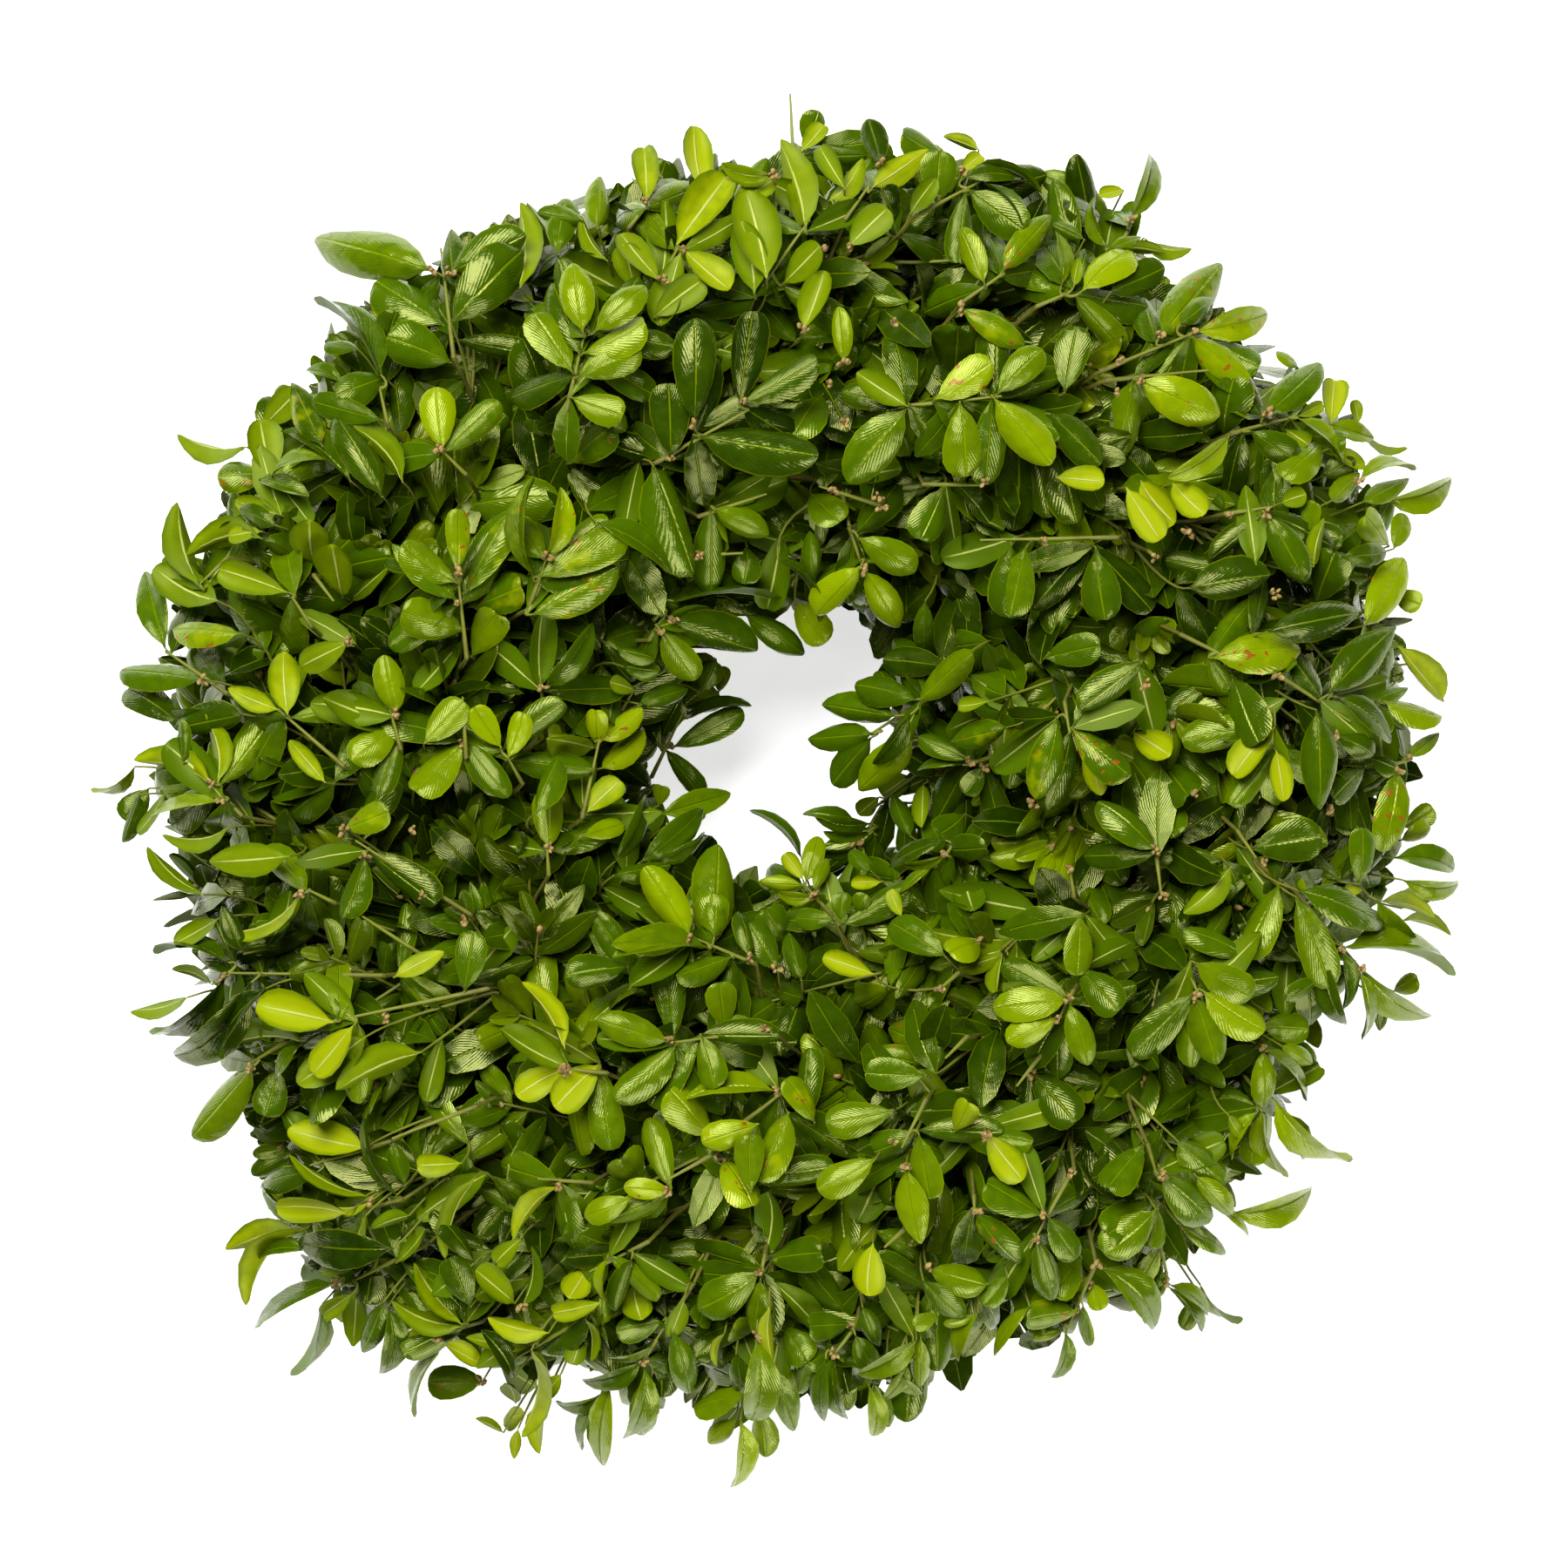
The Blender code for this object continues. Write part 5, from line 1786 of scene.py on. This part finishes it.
def mask(tree, value, start, end):
    """Goes smoothly from 0 at start to 1 at end."""
    settings = {"interpolation_type": "SMOOTHSTEP", "From Min": start, "From Max": end}
    if start > end:
        settings.update({"From Min": end, "From Max": start, "To Min": 1.0, "To Max": 0.0})
    return add_node(tree, "ShaderNodeMapRange", settings, {"Value": value}).outputs["Result"]


def mixed(tree, share, first, second):
    """Mixes a colour socket with another socket or a plain colour, by a share."""
    settings = {"data_type": "RGBA"}
    links = {0: share, MIX_FIRST: first}
    if isinstance(second, tuple):
        settings[MIX_SECOND] = second
    else:
        links[MIX_SECOND] = second
    return add_node(tree, "ShaderNodeMix", settings, links).outputs[MIX_RESULT]


def product(tree, first, second):
    return computed(tree, "MULTIPLY", first, second)


def object_noise(tree, scale, detail, roughness=0.5):
    place = add_node(tree, "ShaderNodeTexCoord").outputs["Object"]
    settings = {"Scale": scale, "Detail": detail, "Roughness": roughness}
    return add_node(tree, "ShaderNodeTexNoise", settings, {"Vector": place}).outputs["Fac"]


def side_veins(tree, apart, along):
    """Fine ribs that leave the midrib slantwise towards the tip: a wave from -1 to 1."""
    slant = product(tree, apart, -95.0)
    return computed(tree, "SINE", computed(tree, "MULTIPLY_ADD", along, 120.0, slant))


def leaf_upper_material(leaf):
    """Boxwood leaf, upper side. It grew a smooth waxy skin, so it is a deep green with a broad
    clear gloss, a fine sunken midrib, a pale thin margin and faint leathery wrinkles."""
    made, shader = new_material("boxwood_leaf_grown_waxy")
    tree = made.node_tree
    tone, youth, blemish = leaf_tint(tree)
    apart, along = from_rib(tree)
    mottle = object_noise(tree, 230.0, 3.0)
    shift = computed(tree, "MULTIPLY_ADD", mottle, 0.24, -0.12)
    lit = computed(tree, "ADD", tone, shift)
    # The tone ramp paints shade and light as well as the leaf's own tone, from dark to bright.
    stops = ((0.02, leaf.dark), (0.38, leaf.middle), (0.76, leaf.bright))
    base = add_node(tree, "ShaderNodeValToRGB", links={"Fac": lit}, stops=stops)
    colour = mixed(tree, youth, base.outputs["Color"], opaque(leaf.young))
    rib = product(tree, mask(tree, apart, 0.035, 0.008), 0.5)
    colour = mixed(tree, rib, colour, opaque(leaf.bright))
    # The pale margin is partly the leaf's own paler edge and partly a painted highlight where the edge
    # catches light.
    margin = product(tree, mask(tree, apart, 0.465, 0.5), 0.35)
    colour = mixed(tree, margin, colour, opaque(leaf.young))
    sick = mask(tree, blemish, 0.35, 0.6)
    patch = mask(tree, object_noise(tree, 150.0, 2.0), 0.52, 0.68)
    blotch = product(tree, product(tree, patch, 0.5), sick)
    colour = mixed(tree, blotch, colour, opaque(leaf.young))
    speck = product(tree, mask(tree, object_noise(tree, 420.0, 1.0), 0.68, 0.72), sick)
    colour = mixed(tree, speck, colour, opaque(leaf.spot))
    dead = product(tree, mask(tree, along, 0.95, 0.97), mask(tree, blemish, 0.8, 0.85))
    colour = mixed(tree, dead, colour, opaque(leaf.dry))
    tree.links.new(colour, shader.inputs["Base Color"])
    fine = object_noise(tree, 900.0, 4.0, 0.6)
    gloss = add_node(
        tree, "ShaderNodeMapRange", {"To Min": 0.08, "To Max": 0.22}, {"Value": fine}
    )
    tree.links.new(gloss.outputs["Result"], shader.inputs["Roughness"])
    shader.inputs["IOR"].default_value = 1.6
    shader.inputs["Specular Tint"].default_value = opaque(leaf.gloss)
    groove = computed(tree, "SUBTRACT", product(tree, fine, 0.34), mask(tree, apart, 0.05, 0.0))
    veined = computed(tree, "MULTIPLY_ADD", side_veins(tree, apart, along), 0.07, groove)
    leather = computed(tree, "MULTIPLY_ADD", object_noise(tree, 210.0, 1.0), 1.6, veined)
    wrinkles = add_node(
        tree, "ShaderNodeBump", {"Strength": 0.8, "Distance": 0.0003}, {"Height": leather}
    )
    tree.links.new(wrinkles.outputs["Normal"], shader.inputs["Normal"])
    return made


def leaf_under_material(leaf):
    """Boxwood leaf, lower side. It has no wax, so it is a matt paler green, with a raised
    pale midrib that thins towards the tip."""
    made, shader = new_material("boxwood_leaf_grown_matt")
    tree = made.node_tree
    tone, youth, _ = leaf_tint(tree)
    apart, along = from_rib(tree)
    mottle = object_noise(tree, 260.0, 3.0)
    lit = computed(tree, "MULTIPLY_ADD", mottle, 0.3, tone)
    # The tone ramp carries painted shade and light here too, besides the underside's own tone.
    stops = ((0.42, leaf.middle), (0.85, leaf.underside), (1.0, leaf.underside_young))
    base = add_node(tree, "ShaderNodeValToRGB", links={"Fac": lit}, stops=stops)
    colour = mixed(tree, youth, base.outputs["Color"], opaque(leaf.underside_young))
    vein = product(tree, mask(tree, side_veins(tree, apart, along), 0.4, 1.0), 0.3)
    colour = mixed(tree, vein, colour, opaque(leaf.bright))
    # Painted shade: the underside darkens towards its margins, where it curves away from the light.
    edge = product(tree, mask(tree, apart, 0.3, 0.48), 0.5)
    colour = mixed(tree, edge, colour, opaque(leaf.middle))
    rib = product(tree, mask(tree, apart, 0.045, 0.015), mask(tree, along, 1.0, 0.5))
    colour = mixed(tree, rib, colour, opaque(leaf.rib))
    tree.links.new(colour, shader.inputs["Base Color"])
    shader.inputs["Roughness"].default_value = 0.42
    shader.inputs["IOR"].default_value = 1.32
    shader.inputs["Specular Tint"].default_value = opaque(leaf.gloss)
    ridge = add_node(
        tree, "ShaderNodeBump", {"Strength": 0.6, "Distance": 0.0004}, {"Height": rib}
    )
    tree.links.new(ridge.outputs["Normal"], shader.inputs["Normal"])
    return made


def bark_material(wood):
    """Boxwood shoot bark, grown: thin, slightly ribbed, green at the tip and brown below."""
    made, shader = new_material("boxwood_bark_grown")
    tree = made.node_tree
    _, near_tip, _ = leaf_tint(tree)
    grain = object_noise(tree, 500.0, 2.0)
    place = computed(tree, "MULTIPLY_ADD", grain, 0.5, near_tip)
    stops = ((0.3, wood.brown_bark), (0.8, wood.green_bark))
    ramp = add_node(tree, "ShaderNodeValToRGB", links={"Fac": place}, stops=stops)
    tree.links.new(ramp.outputs["Color"], shader.inputs["Base Color"])
    shader.inputs["Roughness"].default_value = 0.6
    return made


def bud_material(wood):
    """Boxwood bud scales, grown and dried papery: tan with brown edges."""
    made, shader = new_material("boxwood_bud_dried")
    tree = made.node_tree
    grain = object_noise(tree, 700.0, 2.0)
    stops = ((0.35, wood.bud_edge), (0.6, wood.bud))
    ramp = add_node(tree, "ShaderNodeValToRGB", links={"Fac": grain}, stops=stops)
    tree.links.new(ramp.outputs["Color"], shader.inputs["Base Color"])
    shader.inputs["Roughness"].default_value = 0.7
    return made


def shade_material(wood):
    """Painted shade deep in a bunch, over old boxwood and shaded leaves: nearly black green, dull."""
    made, shader = new_material("boxwood_old_wood_grown")
    tree = made.node_tree
    grain = object_noise(tree, 160.0, 4.0)
    dim = tuple(channel * 0.4 for channel in wood.shade)
    stops = ((0.35, dim), (0.7, wood.shade))
    ramp = add_node(tree, "ShaderNodeValToRGB", links={"Fac": grain}, stops=stops)
    tree.links.new(ramp.outputs["Color"], shader.inputs["Base Color"])
    shader.inputs["Roughness"].default_value = 0.8
    shader.inputs["Specular IOR Level"].default_value = 0.05
    return made


def straw_material(ring):
    """Rye straw, dried and pressed under thread: long pale strands with dark gaps, satin."""
    made, shader = new_material("rye_straw_pressed")
    tree = made.node_tree
    strand_map = add_node(tree, "ShaderNodeUVMap", {"uv_map": LEAF_MAP})
    stretched = add_node(
        tree,
        "ShaderNodeMapping",
        {"Scale": (28.0, 520.0, 1.0)},
        {"Vector": strand_map.outputs["UV"]},
    )
    strands = add_node(
        tree,
        "ShaderNodeTexNoise",
        {"Scale": 1.0, "Detail": 3.0},
        {"Vector": stretched.outputs["Vector"]},
    )
    # The dark gaps are painted shade and the brightest strands painted light.
    stops = ((0.34, ring.straw_dark), (0.5, ring.straw), (0.75, ring.straw_light))
    ramp = add_node(
        tree, "ShaderNodeValToRGB", links={"Fac": strands.outputs["Fac"]}, stops=stops
    )
    tree.links.new(ramp.outputs["Color"], shader.inputs["Base Color"])
    shader.inputs["Roughness"].default_value = 0.55
    relief = add_node(
        tree,
        "ShaderNodeBump",
        {"Strength": 0.8, "Distance": 0.0012},
        {"Height": strands.outputs["Fac"]},
    )
    tree.links.new(relief.outputs["Normal"], shader.inputs["Normal"])
    return made


def wire_material(ring):
    """Annealed steel wire, dipped in green lacquer: a dull even coat with worn places."""
    made, shader = new_material("steel_wire_lacquered")
    tree = made.node_tree
    wear = mask(tree, object_noise(tree, 800.0, 2.0), 0.66, 0.72)
    base = add_node(tree, "ShaderNodeRGB")
    base.outputs[0].default_value = opaque(ring.wire)
    colour = mixed(tree, wear, base.outputs[0], opaque(ring.steel))
    tree.links.new(colour, shader.inputs["Base Color"])
    shader.inputs["Roughness"].default_value = 0.42
    return made


def floor_material(stage):
    """Opal acrylic, cast and lit from below: plain and pale, with hardly a shadow on it."""
    made, shader = new_material("opal_acrylic_cast")
    tree = made.node_tree
    grain = object_noise(tree, 3.0, 2.0)
    edge = tuple(channel * 0.985 for channel in stage.floor)
    stops = ((0.3, edge), (0.7, stage.floor))
    ramp = add_node(tree, "ShaderNodeValToRGB", links={"Fac": grain}, stops=stops)
    tree.links.new(ramp.outputs["Color"], shader.inputs["Base Color"])
    shader.inputs["Roughness"].default_value = 0.7
    shader.inputs["Emission Color"].default_value = (1, 1, 1, 1)
    shader.inputs["Emission Strength"].default_value = stage.floor_glow
    return made


def foliage_materials(looks):
    """Materials of a bunch, made once: upper side, lower side, bark, buds and the painted-shade core."""
    names = ("boxwood_leaf_grown_waxy", "boxwood_leaf_grown_matt", "boxwood_bark_grown")
    names += ("boxwood_bud_dried", "boxwood_old_wood_grown")
    if names[0] not in bpy.data.materials:
        leaf_upper_material(looks.leaf)
        leaf_under_material(looks.leaf)
        bark_material(looks.wood)
        bud_material(looks.wood)
        shade_material(looks.wood)
    return [bpy.data.materials[name] for name in names]


def finish_piece(shape, name, materials, node):
    """Makes the shape a piece that stands for a node of the model."""
    mesh = bpy.data.meshes.new(name)
    shape.to_mesh(mesh)
    shape.free()
    for made_of in materials:
        mesh.materials.append(made_of)
    piece = bpy.data.objects.new(name, mesh)
    bpy.context.scene.collection.objects.link(piece)
    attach(piece, "root")
    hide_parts(node)
    return piece


def make_bunch(lane, place, looks, moulds):
    cell = lane_cell(lane, place)
    chance = random.Random(f"{looks.stage.seed} {lane.name} {place}")
    shape = bmesh.new()
    shape.loops.layers.uv.new(LEAF_MAP)
    shape.verts.layers.float_color.new(TINT)
    add_heart(shape, cell, chance)
    add_inner_leaves(shape, moulds, cell, looks, lane.inner_leaves, 1, chance)
    first = chance.random()
    for index in range(lane.shoots):
        along = (index + chance.random()) / lane.shoots
        across = (first + index * GOLDEN_SHARE) % 1 * 0.96 + 0.02
        shoot = drawn_shoot(cell, along, across, looks, chance)
        add_shoot(shape, moulds, shoot, looks, chance)
    middle_roll = (lane.low + lane.high) / 2
    foot = wreath_point(cell.start + STEM_FOOT_ARC / RING_RADIUS, STEM_FOOT_REACH, middle_roll)
    for sprig in looks.picture.homes.get((lane.name, place), ()):
        add_sprig(shape, moulds, foot, sprig, looks, chance)
    add_inner_leaves(shape, moulds, cell, looks, lane.low_leaves, LOW_SHARE, chance)
    number = f"{place + 1:02d}"
    finish_piece(
        shape,
        f"boxwood_{lane.name}_{number}",
        foliage_materials(looks),
        f"{lane.name}_bunch_{number}",
    )


def make_straw_ring(ring):
    """The straw ring as the model has it, with a round section and finer steps."""
    shape = bmesh.new()
    corner = math.asin(RING_AXIS_HEIGHT / STRAW_RADIUS)
    sweep = math.pi + 2 * corner
    section = [
        shape.verts.new(wreath_point(0, STRAW_RADIUS, -corner + sweep * step / SECTION_STEPS))
        for step in range(SECTION_STEPS + 1)
    ]
    outline = [shape.edges.new(pair) for pair in zip(section, section[1:] + section[:1])]
    bmesh.ops.spin(
        shape,
        geom=section + outline,
        cent=RING_MIDDLE,
        axis=(0, 0, 1),
        angle=2 * math.pi,
        steps=RING_STEPS,
        use_merge=True,
    )
    bmesh.ops.recalc_face_normals(shape, faces=shape.faces)
    strand_map = shape.loops.layers.uv.new(LEAF_MAP)
    for face in shape.faces:
        face.smooth = True
        middle, _, _ = wreath_position(face.calc_center_median())
        for loop in face.loops:
            heading, _, roll = wreath_position(loop.vert.co)
            heading = middle + math.remainder(heading - middle, 2 * math.pi)
            loop[strand_map].uv = (heading * RING_RADIUS, roll * STRAW_RADIUS)
    finish_piece(shape, "pressed_straw_ring", [straw_material(ring)], "straw_ring")


def tie_heading(row):
    return row * ROW_ANGLE + TIE_OFFSET / RING_RADIUS


def back_run(row):
    """Ends of the wire's run across the back, from the hole's side to the outer side."""
    ends = []
    for tied, across in ((row, -WIRE_BACK_ACROSS), (row + 1, WIRE_BACK_ACROSS)):
        heading = tie_heading(tied)
        radius = RING_RADIUS + across
        flat = Vector((radius * math.sin(heading), radius * math.cos(heading), WIRE_BACK_HEIGHT))
        ends.append(RING_MIDDLE + flat)
    return ends


def wire_points():
    """The wire's path: radially over each row of stems, then slantwise across the back."""
    start, end = back_run(ROWS - 1)
    points = [start.lerp(end, WIRE_FIRST_SHARE), end]
    sweep = math.pi - 2 * WIRE_LOW_ROLL
    for row in range(ROWS):
        for step in range(WIRE_ARC_STEPS + 1):
            roll = WIRE_LOW_ROLL + sweep * step / WIRE_ARC_STEPS
            points.append(wreath_point(tie_heading(row), WIRE_REACH, roll))
        start, end = back_run(row)
        points.append(start)
        points.append(start.lerp(end, WIRE_LAST_SHARE if row == ROWS - 1 else 1))
    return points


def make_binding_wire(ring):
    curve = bpy.data.curves.new("lacquered_wire", "CURVE")
    curve.dimensions = "3D"
    curve.bevel_depth = ring.wire_radius
    curve.bevel_resolution = 2
    curve.use_fill_caps = True
    spline = curve.splines.new("POLY")
    points = wire_points()
    spline.points.add(len(points) - 1)
    for knot, point in zip(spline.points, points):
        knot.co = (*point, 1)
    curve.materials.append(wire_material(ring))
    piece = bpy.data.objects.new("lacquered_wire", curve)
    bpy.context.scene.collection.objects.link(piece)
    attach(piece, "root")
    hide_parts("binding_wire")


def add_light(name, place, size, power):
    lamp = bpy.data.lights.new(name, "AREA")
    lamp.shape = "DISK"
    lamp.size = size
    lamp.energy = power
    light = bpy.data.objects.new(name, lamp)
    light.location = place
    light.rotation_euler = (RING_MIDDLE - Vector(place)).to_track_quat("-Z", "Y").to_euler()
    bpy.context.scene.collection.objects.link(light)


def make_stage(stage):
    scene = bpy.context.scene
    shape = bmesh.new()
    bmesh.ops.create_grid(shape, x_segments=1, y_segments=1, size=FLOOR_SIDE)
    mesh = bpy.data.meshes.new("floor")
    shape.to_mesh(mesh)
    shape.free()
    mesh.materials.append(floor_material(stage))
    floor = bpy.data.objects.new("floor", mesh)
    scene.collection.objects.link(floor)
    camera = bpy.data.objects.new("camera", bpy.data.cameras.new("camera"))
    camera.data.lens = stage.lens
    camera.data.sensor_width = SENSOR_WIDTH * 1000
    camera.location = camera_place(stage.lens)
    scene.collection.objects.link(camera)
    scene.camera = camera
    add_light("key_light", KEY_PLACE, KEY_WIDTH, stage.key_power)
    add_light("fill_light", FILL_PLACE, FILL_WIDTH, stage.fill_power)
    world = bpy.data.worlds.new("room")
    world.use_nodes = True
    background = world.node_tree.nodes["Background"]
    background.inputs["Color"].default_value = (1, 1, 1, 1)
    background.inputs["Strength"].default_value = stage.sky
    scene.world = world
    scene.view_settings.view_transform = "Standard"


class WREATH_OT_straw_ring(bpy.types.Operator):
    """Presses the straw ring that carries the bunches"""

    bl_idname = "wreath.straw_ring"
    bl_label = "Straw Ring"

    def execute(self, context):
        make_straw_ring(context.scene.ring_looks)
        return {"FINISHED"}


class WREATH_OT_binding_wire(bpy.types.Operator):
    """Winds the binding wire over the stems and across the back"""

    bl_idname = "wreath.binding_wire"
    bl_label = "Binding Wire"

    def execute(self, context):
        make_binding_wire(context.scene.ring_looks)
        return {"FINISHED"}


Looks = namedtuple("Looks", "leaf wood stage picture")


class LaneOfBunches:
    """Ties in every bunch of one lane."""

    lane_name = ""

    def execute(self, context):
        scene = context.scene
        picture = read_picture(scene.stage_looks.lens)
        looks = Looks(scene.leaf_looks, scene.wood_looks, scene.stage_looks, picture)
        moulds = make_moulds(looks.stage.seed)
        lane = LANES[self.lane_name]
        for place in range(lane.bunches):
            make_bunch(lane, place, looks, moulds)
        for kind in moulds.values():
            for mould in kind:
                bpy.data.meshes.remove(mould)
        return {"FINISHED"}


class WREATH_OT_outer_bunches(LaneOfBunches, bpy.types.Operator):
    """Ties in the bunches that stand outwards and make the wreath's outline"""

    bl_idname = "wreath.outer_bunches"
    bl_label = "Outer Bunches"
    lane_name = "outer"


class WREATH_OT_top_bunches(LaneOfBunches, bpy.types.Operator):
    """Ties in the bunches that make the wreath's crown"""

    bl_idname = "wreath.top_bunches"
    bl_label = "Top Bunches"
    lane_name = "top"


class WREATH_OT_inner_bunches(LaneOfBunches, bpy.types.Operator):
    """Ties in the bunches that line the hole"""

    bl_idname = "wreath.inner_bunches"
    bl_label = "Inner Bunches"
    lane_name = "inner"


class WREATH_OT_stage(bpy.types.Operator):
    """Sets out the floor, the lights and the camera"""

    bl_idname = "wreath.stage"
    bl_label = "Stage"

    def execute(self, context):
        make_stage(context.scene.stage_looks)
        return {"FINISHED"}


OPERATORS = (
    WREATH_OT_straw_ring,
    WREATH_OT_binding_wire,
    WREATH_OT_outer_bunches,
    WREATH_OT_top_bunches,
    WREATH_OT_inner_bunches,
    WREATH_OT_stage,
)
LOOKS = {
    "leaf_looks": LeafLooks,
    "wood_looks": WoodLooks,
    "ring_looks": RingLooks,
    "stage_looks": StageLooks,
}


class WREATH_PT_panel(bpy.types.Panel):
    """Lists the sizes and colours, and the steps that dress the wreath"""

    bl_idname = "WREATH_PT_panel"
    bl_label = "Boxwood Wreath"
    bl_space_type = "VIEW_3D"
    bl_region_type = "UI"
    bl_category = "Wreath"

    def draw(self, context):
        for name in LOOKS:
            box = self.layout.box()
            looks = getattr(context.scene, name)
            for prop in looks.bl_rna.properties:
                if not prop.is_readonly and prop.identifier != "name":
                    box.prop(looks, prop.identifier)
        for operator in OPERATORS:
            self.layout.operator(operator.bl_idname)


CLASSES = (*LOOKS.values(), *OPERATORS, WREATH_PT_panel)


def register():
    for made in CLASSES:
        bpy.utils.register_class(made)
    for name, group in LOOKS.items():
        setattr(bpy.types.Scene, name, PointerProperty(type=group))


def unregister():
    for name in LOOKS:
        delattr(bpy.types.Scene, name)
    for made in reversed(CLASSES):
        bpy.utils.unregister_class(made)


def write_sizes():
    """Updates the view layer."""
    bpy.context.view_layer.update()


def main():
    register()
    bpy.ops.wreath.straw_ring()
    bpy.ops.wreath.binding_wire()
    bpy.ops.wreath.outer_bunches()
    bpy.ops.wreath.top_bunches()
    bpy.ops.wreath.inner_bunches()
    bpy.ops.wreath.stage()
    write_sizes()


if __name__ == "__main__":
    main()
